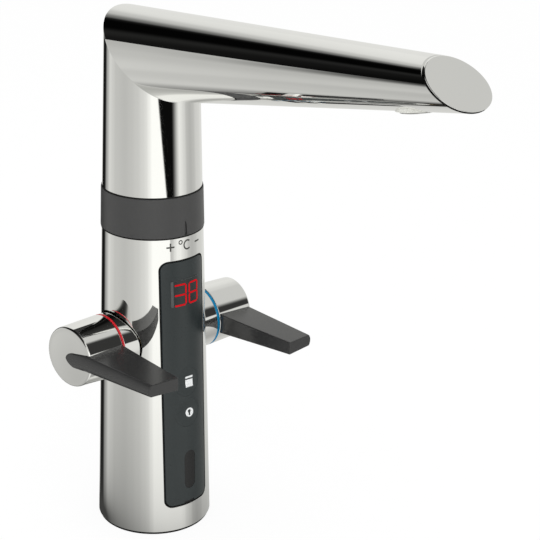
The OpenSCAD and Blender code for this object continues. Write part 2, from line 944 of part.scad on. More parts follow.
// Side outline of a lever in Y and Z, from the hub's middle to its end
module lever_side() {
    polygon([
        [-over, handle_z - lever_bottom],
        [lever_reach, lever_tip_z1 - lever_tip_t],
        [lever_reach, lever_tip_z1],
        [-over, handle_z + lever_top]]);
}

// Plan of a lever: Y forward along X of the drawing, X of the tap up the drawing
module lever_plan() {
    inner_root = hub_x0 + hub_turn_gap;
    outer = hub_x1 + lever_proud;
    inner_tip = inner_root + lever_inner_draw;
    polygon([
        [hub_r - lever_lap, outer + over],
        [hub_r - lever_lap, inner_root],
        [lever_reach, inner_tip],
        [lever_reach - lever_end_slant, outer + over]]);
}

// An outline drawn in Y (forwards) and Z, spread along X from x0 to x1
module spread_x(x0, x1) {
    translate([x0, 0, 0])
        rotate([90, 0, -90])
            mirror([0, 0, 1])
                linear_extrude(x1 - x0)
                    children();
}

// A bar along the lever's outer edge with a rounded outer side
module lever_bar(grow = 0) {
    width = 2 * hub_len;
    translate([hub_x1 + lever_proud, 0, lever_mid_z])
        rotate([90, 0, -lever_outer_deg])
            translate([0, 0, -hub_r])
                linear_extrude(hub_r + 2 * lever_reach) {
                    translate([-lever_round_r, 0])
                        circle(lever_round_r + grow);
                    translate([-lever_round_r - width, -lever_round_r - grow])
                        square([width, 2 * (lever_round_r + grow)]);
                }
}

// The tongue that shows on the hub's end: a rounded nose that runs to the hub's front
module tongue_side(grow) {
    translate([lever_nose_y, lever_nose_z])
        circle(lever_nose_r + grow);
    translate([lever_nose_y, handle_z - lever_bottom - grow])
        square([hub_r - tongue_lap - lever_nose_y, 2 * lever_nose_r + 2 * grow]);
}

module lever_root(grow) {
    front = hub_r + lever_root_skin;
    translate([hub_x0 + lever_root_x - grow, -front, handle_z - lever_bottom + lever_root_in - grow])
        cube([hub_end_x - lever_root_skin - hub_x0 - lever_root_x + 2 * grow,
            front - hub_boss_r - lever_root_gap + grow,
            lever_top + lever_bottom - 2 * lever_root_in + 2 * grow]);
}

module lever_tongue(grow) {
    intersection() {
        spread_x(hub_end_x + tongue_floor - grow, hub_x1 + 2 * lever_proud)
            tongue_side(grow);
        lever_bar(grow);
    }
}

// A hub's outer shape: a slight taper with a slanted end
module hub_solid(grow = 0) {
    difference() {
        translate([hub_x0, 0, handle_z])
            rotate([0, 90, 0])
                cylinder(h = 2 * hub_len, r1 = hub_r + grow, r2 = 2 * hub_end_r - hub_r + grow);
        translate([hub_x1, 0, handle_z])
            rotate([0, 0, -hub_face_deg])
                translate([0, -2 * hub_r, -2 * hub_r])
                    cube(4 * hub_r);
    }
}

module lever() {
    color(charcoal)
        union() {
            difference() {
                intersection() {
                    spread_x(hub_x0, hub_x1 + 2 * lever_proud)
                        lever_side();
                    translate([0, 0, handle_z - hub_r])
                        linear_extrude(2 * hub_r)
                            rotate([0, 0, -90])
                                lever_plan();
                    lever_bar();
                }
                hub_solid(hub_lever_gap);
            }
            lever_root(0);
            lever_tongue(0);
        }
}

module hub() {
    color(chrome)
        difference() {
            hub_solid();
            difference() {
                along_x(hub_x0 - over, hub_end_x, hub_r - hub_wall);
                along_x(hub_x0 - 2 * over, hub_end_x + over, hub_boss_r);
            }
            along_x(hub_x0 - over, cartridge_x1 + 0.5, cartridge_neck_r + run_fit);
            along_x(hub_x0, hub_end_x, spindle_r + spindle_fit);
            lever_root(hub_lever_gap);
            lever_tongue(hub_lever_gap + 0.01);
            translate([hub_screw_x, 0, handle_z - hub_r - over])
                cylinder(h = hub_r + over, r = grub_r + screw_fit);
        }
}

module hub_screw() {
    color(steel)
        translate([hub_screw_x, 0, handle_z - hub_boss_r])
            difference() {
                cylinder(h = hub_boss_r - spindle_r - seat_fit, r = grub_r);
                translate([0, 0, -over])
                    cylinder(h = socket_depth + over, r = grub_socket_r, $fn = 6);
            }
}

module sleeve_hot() { both_sides(true) sleeve(); }
module sleeve_cold() { both_sides(false) sleeve(); }
module hot_ring() { both_sides(true) colour_ring("crimson"); }
module cold_ring() { both_sides(false) colour_ring("steelblue"); }
module cartridge_hot() { both_sides(true) cartridge(); }
module cartridge_cold() { both_sides(false) cartridge(); }
module spindle_hot() { both_sides(true) spindle(); }
module spindle_cold() { both_sides(false) spindle(); }
module hub_hot() { both_sides(true) hub(); }
module hub_cold() { both_sides(false) hub(); }
module hub_screw_hot() { both_sides(true) hub_screw(); }
module hub_screw_cold() { both_sides(false) hub_screw(); }
module lever_hot() { both_sides(true) lever(); }
module lever_cold() { both_sides(false) lever(); }

module control_panel() {
    color(panel_dark)
        difference() {
            intersection() {
                cone_skin(panel_z - over, panel_z1 + over, 0, panel_t);
                to_front(0, body_base_r + over)
                    panel_outline();
            }
            to_front(0, body_base_r + over) {
                translate([0, display_z])
                    round_rect(display_w + 2 * seat_fit, display_h + 2 * seat_fit, display_corner_r);
                translate([0, sensor_z])
                    obround(sensor_w + 2 * seat_fit, sensor_h + 2 * seat_fit);
                translate([0, panel_z])
                    square([latch_w + 2 * seat_fit, 2 * (latch_z1 + seat_fit - panel_z)], center = true);
            }
            front_cylinder(button_upper_z, 0, body_base_r + over, button_r + button_gap);
            front_cylinder(button_lower_z, 0, body_base_r + over, button_r + button_gap);
        }
}

module panel_gasket() {
    color(rubber)
        intersection() {
            cone_skin(panel_z - 2, panel_z1 + 2, 0.15, panel_t + seat_fit / 2);
            to_front(body_r(body_h) / 2, body_base_r + over)
                difference() {
                    panel_outline(seat_fit / 2 + panel_seal_w);
                    panel_outline(seat_fit / 2);
                }
        }
}

module panel_carrier() {
    carrier_mid = (carrier_z0 + carrier_z1) / 2;
    color(charcoal)
        difference() {
            intersection() {
                cone_solid(carrier_z0, carrier_z1, panel_t + seat_fit);
                to_front(carrier_back, body_base_r)
                    translate([0, carrier_mid])
                        square([carrier_w, 2 * carrier_z1], center = true);
            }
            to_front(carrier_back - over, board_front)
                translate([0, carrier_mid])
                    square([carrier_w - 2 * board_margin + 2 * seat_fit,
                        carrier_z1 - carrier_z0 - 2 * board_margin + 2 * seat_fit], center = true);
            to_front(0, body_base_r) {
                translate([0, display_z])
                    square([display_w + 2 * seat_fit, display_h + 2 * seat_fit], center = true);
                translate([0, sensor_z])
                    square([sensor_w + 2 + 2 * seat_fit, sensor_h - 1 + 2 * seat_fit], center = true);
            }
            for (z = [button_upper_z, button_lower_z]) {
                front_cylinder(z, carrier_floor, body_base_r, button_r + button_gap);
                front_cylinder(z, 0, body_base_r, button_stem_r + run_fit);
            }
        }
}

module panel_latch() {
    color(charcoal) {
        intersection() {
            cone_skin(latch_z0, latch_z1, 0.5, body_wall + 0.6);
            to_front(0, body_base_r)
                translate([0, (latch_z0 + latch_z1) / 2])
                    square([latch_w, latch_h], center = true);
        }
        translate([-latch_w / 2, -latch_spring_y, flange_z1])
            cube([latch_w, 1.6, latch_z1 - flange_z1]);
    }
}

module circuit_board() {
    board_z0 = carrier_z0 + board_margin;
    color("seagreen")
        translate([-carrier_w / 2 + board_margin, -board_front, board_z0])
            cube([carrier_w - 2 * board_margin, board_t, carrier_z1 - board_margin - board_z0]);
}

// Seven bars: top, upper right, lower right, bottom, lower left, upper left, middle
module figure(bars) {
    w = digit_w - digit_stroke;
    h = (digit_h - digit_stroke) / 2;
    gap = 0.15;
    places = [
        [0, h, 0, w], [w / 2, h / 2, 90, h], [w / 2, -h / 2, 90, h], [0, -h, 0, w],
        [-w / 2, -h / 2, 90, h], [-w / 2, h / 2, 90, h], [0, 0, 0, w]];
    for (i = bars)
        translate([places[i][0], places[i][1]])
            rotate([0, 0, places[i][2]])
                polygon([
                    for (s = [-1, 1], c = [[1, 0], [1, 1], [-1, 1]])
                        [-s * (c[0] * (places[i][3] / 2 - gap - c[1] * digit_stroke / 2)),
                            -s * c[1] * digit_stroke / 2]]);
}

module figures() {
    translate([0, display_z - digit_fall]) {
        translate([-digit_pitch / 2, 0])
            figure([0, 1, 2, 3, 6]);
        translate([digit_pitch / 2, 0])
            figure([0, 1, 2, 3, 4, 5, 6]);
    }
}

// A flat block level with the panel's middle line, so its sides stand out of the round panel
module display_module() {
    color("black")
        difference() {
            to_front(board_front, display_front)
                translate([0, display_z])
                    round_rect(display_w, display_h, display_corner_r);
            to_front(display_front - digit_depth, display_front + over)
                figures();
        }
}

module display_digits() {
    color("red")
        to_front(display_front - digit_depth, display_front)
            figures();
}

module push_button(z) {
    face = body_r(z) - 0.35;
    dish_r = 40;
    dish_depth = 0.45;
    color(panel_dark)
        difference() {
            union() {
                intersection() {
                    cone_skin(z - 10, z + 10, 0.35, 2.6);
                    front_cylinder(z, 0, body_base_r, button_r);
                }
                front_cylinder(z, stem_end, body_r(z) - 1.5, button_stem_r);
            }
            translate([0, -face - dish_r + dish_depth, z])
                sphere(dish_r);
        }
}

module button_upper() { push_button(button_upper_z); }
module button_lower() { push_button(button_lower_z); }

module button_switches() {
    color(steel)
        for (z = [button_upper_z, button_lower_z])
            front_cylinder(z, board_front, board_front + switch_h, button_stem_r - 0.2);
}

module sensor_window() {
    color("black")
        intersection() {
            cone_skin(sensor_z - sensor_h, sensor_z + sensor_h, 0.3, 1.9);
            to_front(0, body_base_r)
                translate([0, sensor_z])
                    obround(sensor_w, sensor_h);
        }
}

module sensor_module() {
    color("black") {
        translate([-sensor_w / 2 - 1, -board_front - 7, sensor_z - sensor_h / 2 + 0.5])
            cube([sensor_w + 2, 7, sensor_h - 1]);
        for (z = [sensor_z - sensor_h / 4, sensor_z + sensor_h / 4])
            front_cylinder(z, board_front + 7, body_r(z) - 2.1, 1.8);
    }
}

base_gasket();
base_flange();
mounting_shank();
clamp_gasket();
clamp_washer();
shank_nut();
body_shell();
shell_screw();
base_screws();
water_body();
solenoid_valve();
temperature_probe();
neck();
neck_orings();
thrust_washer();
ring_bush();
position_sensor();
temperature_ring();
ring_magnets();
spout();
spout_socket();
spout_screw();
spout_waterway();
aerator_socket();
aerator();
spout_gasket();
spout_cap();
sleeve_hot();
sleeve_cold();
hot_ring();
cold_ring();
cartridge_hot();
cartridge_cold();
spindle_hot();
spindle_cold();
hub_hot();
hub_cold();
hub_screw_hot();
hub_screw_cold();
lever_hot();
lever_cold();
control_panel();
panel_gasket();
panel_carrier();
panel_latch();
circuit_board();
display_module();
display_digits();
button_upper();
button_lower();
button_switches();
sensor_window();
sensor_module();
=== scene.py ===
"""Looks of the touchless kitchen mixer tap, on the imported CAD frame.

The outer skins are built here, with rounded edges and true normals, and stand in for the CAD's plain ones.
Inner pieces keep the CAD's shape and get materials. Lengths are in mm until a mesh is made.
"""
import json
import math
from collections import namedtuple

import bpy
from mathutils import Matrix, Vector
from mathutils.geometry import delaunay_2d_cdt


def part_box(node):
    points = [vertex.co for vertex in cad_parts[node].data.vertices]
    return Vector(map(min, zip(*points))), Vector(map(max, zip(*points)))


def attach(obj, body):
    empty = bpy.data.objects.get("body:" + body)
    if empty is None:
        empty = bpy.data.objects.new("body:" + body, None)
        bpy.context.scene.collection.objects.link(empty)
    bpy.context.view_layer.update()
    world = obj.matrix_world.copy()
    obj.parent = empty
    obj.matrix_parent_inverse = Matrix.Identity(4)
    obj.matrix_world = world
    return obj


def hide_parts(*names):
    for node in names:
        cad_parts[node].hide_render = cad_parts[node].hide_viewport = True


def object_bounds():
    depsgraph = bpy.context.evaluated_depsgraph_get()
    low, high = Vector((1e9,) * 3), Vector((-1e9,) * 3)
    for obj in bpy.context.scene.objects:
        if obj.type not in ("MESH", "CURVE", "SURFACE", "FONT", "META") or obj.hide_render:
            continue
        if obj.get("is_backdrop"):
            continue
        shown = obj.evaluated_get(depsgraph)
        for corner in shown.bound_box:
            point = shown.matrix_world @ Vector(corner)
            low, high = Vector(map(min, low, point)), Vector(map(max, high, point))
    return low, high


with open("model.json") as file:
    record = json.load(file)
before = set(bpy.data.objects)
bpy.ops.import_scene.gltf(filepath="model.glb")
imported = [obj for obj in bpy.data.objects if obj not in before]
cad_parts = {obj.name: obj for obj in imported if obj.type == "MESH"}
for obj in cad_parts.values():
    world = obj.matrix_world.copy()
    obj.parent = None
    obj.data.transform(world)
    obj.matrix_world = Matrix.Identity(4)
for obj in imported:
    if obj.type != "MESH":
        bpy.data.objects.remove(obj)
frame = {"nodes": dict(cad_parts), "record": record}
nodes = frame["nodes"]
start_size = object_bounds()
scene = bpy.context.scene
MM = 0.001


# Sizes, as in the CAD

def box_mm(name):
    low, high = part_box(name)
    return low / MM, high / MM


def size_mm(name):
    """Width and height of a CAD node."""
    low, high = box_mm(name)
    return high.x - low.x, high.z - low.z


def middle_z(name):
    """Height of a CAD node's middle."""
    low, high = box_mm(name)
    return (low.z + high.z) / 2


BASE_R = 30.0
TAPER = math.tan(math.radians(1.45))
WALL_T = 3.0
SHELL_LOW, SHELL_HIGH = box_mm("body_shell")
RING_LOW, RING_HIGH = box_mm("temperature_ring")
SPOUT_LOW = box_mm("spout")[0]
PANEL_LOW = box_mm("control_panel")[0]
LATCH_HIGH = box_mm("panel_latch")[1]
PANEL_W, PANEL_R, PANEL_T = 27.2, 4.0, 2.2
SEAL_W, SEAT_FIT, PANEL_GAP = 0.5, 0.1, 0.3

HUB_LOW, HUB_HIGH = box_mm("hub_cold")
HANDLE_Z = middle_z("hub_cold")
HUB_R, HUB_END_R = (HUB_HIGH.z - HUB_LOW.z) / 2, 15.6
HUB_FACE = math.radians(5.8)
HUB_END_X = HUB_HIGH.x - HUB_END_R * math.tan(HUB_FACE)

LEVER_REACH = -box_mm("lever_cold")[0].y
LEVER_IN_ROOT, LEVER_IN_DRAW = HUB_LOW.x + 0.05, 4.6
LEVER_OUT_X, LEVER_OUT_TURN = HUB_END_X + 0.85, math.radians(1.8)
LEVER_HIDDEN_X = HUB_END_X - 4.5
LEVER_START_Y = -(HUB_R - 3.0)
LEVER_LENGTH = LEVER_REACH + LEVER_START_Y
LEVER_W, LEVER_TIP_W, LEVER_END_W, LEVER_EDGE, LEVER_END_SLANT = 20.0, 18.0, 16.3, 0.5, 1.8
LEVER_NOSE_Y, LEVER_NOSE_R, LEVER_NOSE_Z = -4.0, 5.0, HANDLE_Z - 0.2
LEVER_NOSE_UP, LEVER_NOSE_DOWN = 3.3, 4.4

TURRET_H = 66.0
ARM_Z = SPOUT_LOW.z + TURRET_H
ARM_L = 197.2
ARM_RISE = math.radians(6.5)
ARM_FACE = math.radians(46.3)
ARM_ROOT_H, ARM_TIP_H, ARM_TIP_W = 22.6, 10.6, 16.3
CAP_T, CAP_INSET, CAP_RAISE, ARM_END_DEPTH, SPOUT_WALL = 1.6, 0.3, 0.3, 1.15, 2.5


def body_r(z):
    """Radius of the tapering column, which the spout's turret carries on."""
    return BASE_R - z * TAPER


# Mesh helpers. The steps are mm between the points of an outline. A rounded corner takes up at most
# CUT_MOST of a side.

RING_POINTS = 192
MARK_STEP, FINE_STEP = 0.6, 0.5
TINY, WELD, CUT_MOST = 1e-6, 1e-5, 0.45


def add_object(name, data):
    obj = bpy.data.objects.new(name, data)
    scene.collection.objects.link(obj)
    return obj


class Build:
    """Collects points with their own normals, and faces."""

    def __init__(self):
        self.verts, self.normals, self.faces = [], [], []

    def grid(self, rows):
        """Joins rings of (point, normal) into quads."""
        base = len(self.verts)
        width = len(rows[0])
        for row in rows:
            for p, n in row:
                self.verts.append(p)
                self.normals.append(n)
        for start in range(base, base + (len(rows) - 1) * width, width):
            for i in range(width):
                k = (i + 1) % width
                self.faces.append((start + i, start + k, start + width + k, start + width + i))

    def disc(self, row, normal):
        """A flat face over a ring of (point, normal), with a normal of its own."""
        base = len(self.verts)
        self.verts += [p for p, _ in row]
        self.normals += [normal] * len(row)
        self.faces.append(tuple(range(base, base + len(row))))

    def sheet(self, outer, holes, place, scale=1.0, grid=None):
        """Fills a flat outline (u, v), leaving its holes out. place(u, v) gives each point and its normal;
        scale stretches u while the outline is cut into triangles; grid adds inner points that far apart."""
        verts, edges = [], []
        for loop in [outer] + list(holes):
            first = len(verts)
            verts += [Vector((u * scale, v)) for u, v in loop]
            edges += [(first + i, first + (i + 1) % len(loop)) for i in range(len(loop))]
        if grid:
            verts += [Vector((u * scale, v)) for u, v in inner_points(outer, holes, *grid)]
        points, _, faces, *_ = delaunay_2d_cdt(verts, edges, [], 0, WELD)
        base = len(self.verts)
        for q in points:
            p, n = place(q.x / scale, q.y)
            self.verts.append(p)
            self.normals.append(n)
        for f in faces:
            middle = sum((points[i] for i in f), Vector((0, 0))) / len(f)
            if covered((middle.x / scale, middle.y), outer, holes):
                self.faces.append(tuple(base + i for i in f))

    def make(self, name):
        """The faces are turned to agree with their points' normals."""
        faces = []
        for f in self.faces:
            turn = Vector()
            for i in range(1, len(f) - 1):
                start = self.verts[f[0]]
                turn += (self.verts[f[i]] - start).cross(self.verts[f[i + 1]] - start)
            out = sum((self.normals[i] for i in f), Vector())
            faces.append(f if turn.dot(out) >= 0 else tuple(reversed(f)))
        mesh = bpy.data.meshes.new(name)
        mesh.from_pydata([v * MM for v in self.verts], [], faces)
        mesh.shade_smooth()
        mesh.normals_split_custom_set_from_vertices([n.normalized() for n in self.normals])
        return add_object(name, mesh)

    def finish(self, name, body, slot, *replaced, look=None):
        """Makes a piece that rides with its body, in place of CAD nodes. look replaces its slot's look."""
        obj = self.make(name)
        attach(obj, body)
        if replaced:
            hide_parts(*replaced)
        paint(obj, MATERIALS[look or slot])


def inside(p, loop):
    hit = False
    for (x0, y0), (x1, y1) in zip(loop, loop[-1:] + loop[:-1]):
        if (y0 > p[1]) != (y1 > p[1]) and p[0] < (x1 - x0) * (p[1] - y0) / (y1 - y0) + x0:
            hit = not hit
    return hit


def covered(p, outer, holes):
    return inside(p, outer) and not any(inside(p, hole) for hole in holes)


def inner_points(outer, holes, du, dv):
    """Points du and dv apart, inside an outline."""
    us, vs = [p[0] for p in outer], [p[1] for p in outer]
    for i in range(1, int((max(us) - min(us)) / du)):
        for j in range(1, int((max(vs) - min(vs)) / dv)):
            p = (min(us) + i * du, min(vs) + j * dv)
            if covered(p, outer, holes):
                yield p


def quarter(radius, steps=4):
    """Stations of a quarter round edge: how far in and along, and the two sides' shares of the normal."""
    for k in range(steps + 1):
        a = math.pi / 2 * k / steps
        yield radius * (1 - math.cos(a)), radius * (1 - math.sin(a)), math.cos(a), math.sin(a)


def turns(count):
    return [2 * math.pi * i / count for i in range(count)]


def circle(count=RING_POINTS):
    """(cos, sin) of the points of a ring."""
    return [(math.cos(a), math.sin(a)) for a in turns(count)]


def mirrored(row, side):
    """Points and normals drawn for the +X side; side is 1 to keep them there, or -1."""
    return [(Vector((side * p.x, p.y, p.z)), Vector((side * n.x, n.y, n.z))) for p, n in row]


def lathe_rows(profile, count, place):
    """Rings from (radius, height, radius part of the normal, height part)."""
    origin = place(Vector())
    return [[(place(Vector((r * c, r * s, h))), place(Vector((nr * c, nr * s, nh))) - origin)
             for c, s in circle(count)] for r, h, nr, nh in profile]


def corner(a, tip, b, n0, n1, steps=3):
    """Points of a rounded corner between a and b, with normals turning from n0 to n1."""
    for k in range(steps + 1):
        t = k / steps
        yield a * (1 - t) ** 2 + tip * 2 * t * (1 - t) + b * t ** 2, n0.slerp(n1, t)


def rounded_profile(points, radius):
    """A profile through (r, h) points, solid on its left, with rounded corners."""
    steps = 4
    points = [Vector(p) for p in points]
    legs = [b - a for a, b in zip(points, points[1:])]
    sides = [Vector((d.y, -d.x)).normalized() for d in legs]
    out = [(*points[0], *sides[0])]
    for here, before, after, n0, n1 in zip(points[1:], legs, legs[1:], sides, sides[1:]):
        cut = min(radius * math.tan(n0.angle(n1) / 2), before.length * CUT_MOST, after.length * CUT_MOST)
        a, b = here - before.normalized() * cut, here + after.normalized() * cut
        out += [(*p, *n) for p, n in corner(a, here, b, n0, n1, steps)]
    return out + [(*points[-1], *sides[-1])]


def upright(v):
    return v


def sideways(side):
    """Turns a lathe's height axis onto X at the handles' height; side is 1 or -1."""
    return lambda v: Vector((side * v.z, v.x, HANDLE_Z + v.y))


def lathe(points, radius, place):
    b = Build()
    b.grid(lathe_rows(rounded_profile(points, radius), RING_POINTS, place))
    return b


# Outlines in X and Z, seen from the front

def arc(cx, cz, rx, rz, start, end, steps):
    for i in range(steps + 1):
        a = math.radians(start + (end - start) * i / steps)
        yield cx + rx * math.cos(a), cz + rz * math.sin(a)


def dense(pts, step=1.2):
    """Adds points along the long sides of a closed outline."""
    out = []
    for p, q in zip(pts, pts[1:] + pts[:1]):
        n = max(1, int(math.dist(p, q) / step))
        if math.dist(p, q) > TINY:
            out += [(p[0] + (q[0] - p[0]) * k / n, p[1] + (q[1] - p[1]) * k / n) for k in range(n)]
    return out


def round_rect(w, h, r, cz, extra=(), steps=8):
    """A rectangle with round corners; extra points join its bottom side, from left to right."""
    pts = []
    for sx, sz, start in ((1, -1, -90), (1, 1, 0), (-1, 1, 90), (-1, -1, 180)):
        pts += arc(sx * (w / 2 - r), cz + sz * (h / 2 - r), r, r, start, start + 90, steps)
    return dense(pts + list(extra))


def rect(w, h, cx=0.0, cz=0.0):
    corners = ((-1, -1), (1, -1), (1, 1), (-1, 1))
    return dense([(cx + sx * w / 2, cz + sz * h / 2) for sx, sz in corners], MARK_STEP)


def disc_outline(r, cx=0.0, cz=0.0, steps=72):
    return list(arc(cx, cz, r, r, 0, 360, steps))[:-1]


def obround(w, h, cx, cz, steps=14):
    pts = []
    for sign, start in ((1, 0), (-1, 180)):
        pts += arc(cx, cz + sign * (h - w) / 2, w / 2, w / 2, start, start + 180, steps)
    return dense(pts)


def arc_stroke(cx, cz, r, w, start, end, squeeze, steps=24):
    """An arc drawn with a pen of width w; squeeze narrows it across."""
    return (list(arc(cx, cz, squeeze * (r + w / 2), r + w / 2, start, end, steps))
            + list(arc(cx, cz, squeeze * (r - w / 2), r - w / 2, end, start, steps)))


def outward(loop):
    """Unit normals in space, pointing out of a closed outline."""
    area = sum(a[0] * b[1] - b[0] * a[1] for a, b in zip(loop, loop[1:] + loop[:1]))
    res = []
    for a, b in zip(loop[-1:] + loop[:-1], loop[1:] + loop[:1]):
        d = Vector((b[0] - a[0], b[1] - a[1])).normalized() * math.copysign(1, area)
        res.append(Vector((d.y, 0, -d.x)))
    return res


def shifted(loop, distance):
    return [(p[0] + n.x * distance, p[1] + n.z * distance) for p, n in zip(loop, outward(loop))]


# Sheets on the column's cone. Theta 0 is the front (-Y); positive theta goes towards +X.

def cone_point(theta, z, inset=0.0):
    r = body_r(z) - inset
    return Vector((r * math.sin(theta), -r * math.cos(theta), z))


def cone_normal(theta):
    return Vector((math.sin(theta), -math.cos(theta), TAPER)).normalized()


def on_cone(inset=0.0):
    return lambda theta, z: (cone_point(theta, z, inset), cone_normal(theta))


def front_theta(x, z, inset=0.0):
    return math.asin(max(-1, min(1, x / (body_r(z) - inset))))


def to_cone(loop, inset=0.0):
    return [(front_theta(x, z, inset), z) for x, z in loop]


def front_point(x, z, depth, inset=0.0):
    r = body_r(z) - inset
    return Vector((x, -math.sqrt(max(r * r - x * x, 0)) + depth, z))


def front_lip(b, loop, radius, depth, hole=True):
    """The rounded edge and the wall of an outline cut into the cone along Y, or out of it."""
    sign = 1 if hole else -1
    sides = [m * sign for m in outward(loop)]
    rows = []
    for into, along, face, wall in quarter(radius):
        row = []
        for (x, z), m in zip(loop, sides):
            px, pz = x + m.x * along, z + m.z * along
            n = cone_normal(front_theta(px, pz)) * face - m * wall
            row.append((front_point(px, pz, into), n))
        rows.append(row)
    rows.append([(front_point(x, z, depth), -m) for (x, z), m in zip(loop, sides)])
    b.grid(rows)


def band(z0, z1):
    """Outline of a whole turn of the cone between two heights, in (theta, z)."""
    up = 24
    pts = [(-math.pi + 2 * math.pi * i / TURNS, z0) for i in range(TURNS)]
    pts += [(math.pi, z0 + (z1 - z0) * i / up) for i in range(up)]
    pts += [(math.pi - 2 * math.pi * i / TURNS, z1) for i in range(TURNS)]
    pts += [(-math.pi, z1 - (z1 - z0) * i / up) for i in range(up)]
    return pts


def band_end(b, z, up, radius, inset, inner_r):
    """The rounded edge and the flat end of such a turn; up is 1 at its top and -1 at its bottom."""
    profile = []
    for into, along, side, end in quarter(radius):
        h = z - up * along
        profile.append((body_r(h) - inset - into, h, side, TAPER * side + up * end))
    profile.append((inner_r, z, 0, up))
    b.grid(lathe_rows(profile, TURNS, upright))


def on_front(lift):
    """Places (x, z) in front of the column's skin, with the skin's normal."""
    return lambda x, z: (front_point(x, z, -lift), cone_normal(front_theta(x, z)))


# Body column and panel

LIP, WINDOW_LIP, HOLE_LIP = 0.35, 0.15, 0.45
TURNS = 180
TURN_STEP = 2 * math.pi / TURNS
HUB_GAP, HOLE_POINTS = 0.65, 120
HANDLE_HOLE_R = HUB_R + HUB_GAP


def handle_hole(r, side):
    """Outline on the cone, in (theta, z), of the round hole of a handle."""
    return [(side * math.acos(-y / body_r(z)), z) for y, z in disc_outline(r, 0, HANDLE_Z, HOLE_POINTS)]


def handle_lip(b, side):
    rows = []
    for into, along, face, wall in list(quarter(HOLE_LIP)) + [(WALL_T, 0, 0, 1)]:
        row = []
        for y, z in disc_outline(HANDLE_HOLE_R + along, 0, HANDLE_Z, HOLE_POINTS):
            out = Vector((0, y, z - HANDLE_Z)).normalized()
            n = cone_normal(math.acos(-y / body_r(z))) * face - out * wall
            row.append((Vector((math.sqrt(body_r(z) ** 2 - y * y) - into, y, z)), n))
        rows.append(mirrored(row, side))
    b.grid(rows)


def panel_outline(grow, extra=()):
    _, h = size_mm("control_panel")
    return round_rect(PANEL_W + 2 * grow, h + 2 * grow, PANEL_R + grow, middle_z("control_panel"), extra)


def make_body():
    """The column, with the panel's window and the handles' holes."""
    b = Build()
    window = panel_outline(SEAL_W + SEAT_FIT)
    z0, z1 = SHELL_LOW.z, SHELL_HIGH.z
    holes = [to_cone(shifted(window, WINDOW_LIP))]
    holes += [handle_hole(HANDLE_HOLE_R + HOLE_LIP, side) for side in (1, -1)]
    b.sheet(band(z0 + LIP, z1 - LIP), holes, on_cone(), BASE_R, (TURN_STEP, 5.0))
    front_lip(b, window, WINDOW_LIP, WALL_T)
    for side in (1, -1):
        handle_lip(b, side)
    for z, up in ((z0, -1), (z1, 1)):
        band_end(b, z, up, LIP, 0, body_r(z) - WALL_T)
    b.grid(lathe_rows([(body_r(z) - WALL_T, z, -1, 0) for z in (z0, z1)], TURNS, upright))
    b.finish("body_column", "body", "chrome", "body_shell")


def window_outline(grow=0.0):
    """The part of the sensor window that shows, set a little to the right."""
    w, h = size_mm("sensor_window")
    hidden_w, hidden_h, right, drop = 0.45, 2.9, 0.75, 0.45
    return obround(w - hidden_w + 2 * grow, h - hidden_h + 2 * grow, right, middle_z("sensor_window") - drop)


def make_window():
    """The smoked window, a hair under the panel's face."""
    b = Build()
    depth, grid = 0.1, (0.5, 2.0)
    b.sheet(dense(window_outline(), FINE_STEP), [], on_front(-depth), 1.0, grid)
    b.finish("sensor_glass", "body", "window_black", "sensor_window")


def display_outline():
    corner_r = 0.8
    return round_rect(*size_mm("display_module"), corner_r, middle_z("display_module"))


BUTTON_R, BUTTON_FIT, BUTTON_EDGE, BUTTON_RIM_DEPTH = 7.9, 0.03, 0.05, 0.06
DISH_R, DISH_DEPTH, DISH_POWER = BUTTON_R - 0.1, 1.5, 1.3
DISH_RINGS = (0.02, 1.2, 2.4, 3.6, 4.8, 5.7, 6.3, 6.8, 7.2, 7.5, 7.75)
BUTTON_SKIRT = Vector((0, 0.6, 0))


def make_panel():
    """The glossy panel with its openings and, in its lower edge, the notch of the release tab."""
    b = Build()
    edge, fine, grid = 0.2, 0.04, (0.045, 2.5)
    half, top, foot = LATCH_HIGH.x + SEAT_FIT, LATCH_HIGH.z + SEAT_FIT, PANEL_LOW.z + PANEL_GAP
    outline = panel_outline(-PANEL_GAP, [(-half, foot), (-half, top), (half, top), (half, foot)])
    openings = [display_outline(), window_outline(SEAT_FIT)]
    for name in ("button_upper", "button_lower"):
        openings.append(disc_outline(BUTTON_R + BUTTON_FIT, 0, middle_z(name)))
    b.sheet(to_cone(shifted(outline, -edge)), [to_cone(shifted(h, fine)) for h in openings], on_cone(),
            BASE_R, grid)
    front_lip(b, outline, edge, PANEL_T, hole=False)
    for h in openings:
        front_lip(b, h, fine, PANEL_T)
    b.finish("panel_face", "body", "panel_dark", "control_panel")


def dish_depth(r):
    """Depth of a button's face under the column's skin at a distance from its middle."""
    t = min(r / DISH_R, 1)
    return BUTTON_RIM_DEPTH + DISH_DEPTH * (1 - t * t) ** DISH_POWER


def on_dish(zc, lift=0.0):
    """Places (x, z) on a button's face, with the face's normal."""
    def place(x, z):
        r = math.hypot(x, z - zc)
        step = 0.01
        slope = (dish_depth(r + step) - dish_depth(max(r - step, 0))) / (2 * step)
        out = Vector((x, 0, z - zc)) / max(r, TINY)
        return front_point(x, z, dish_depth(r) - lift), cone_normal(front_theta(x, z)) + out * slope
    return place


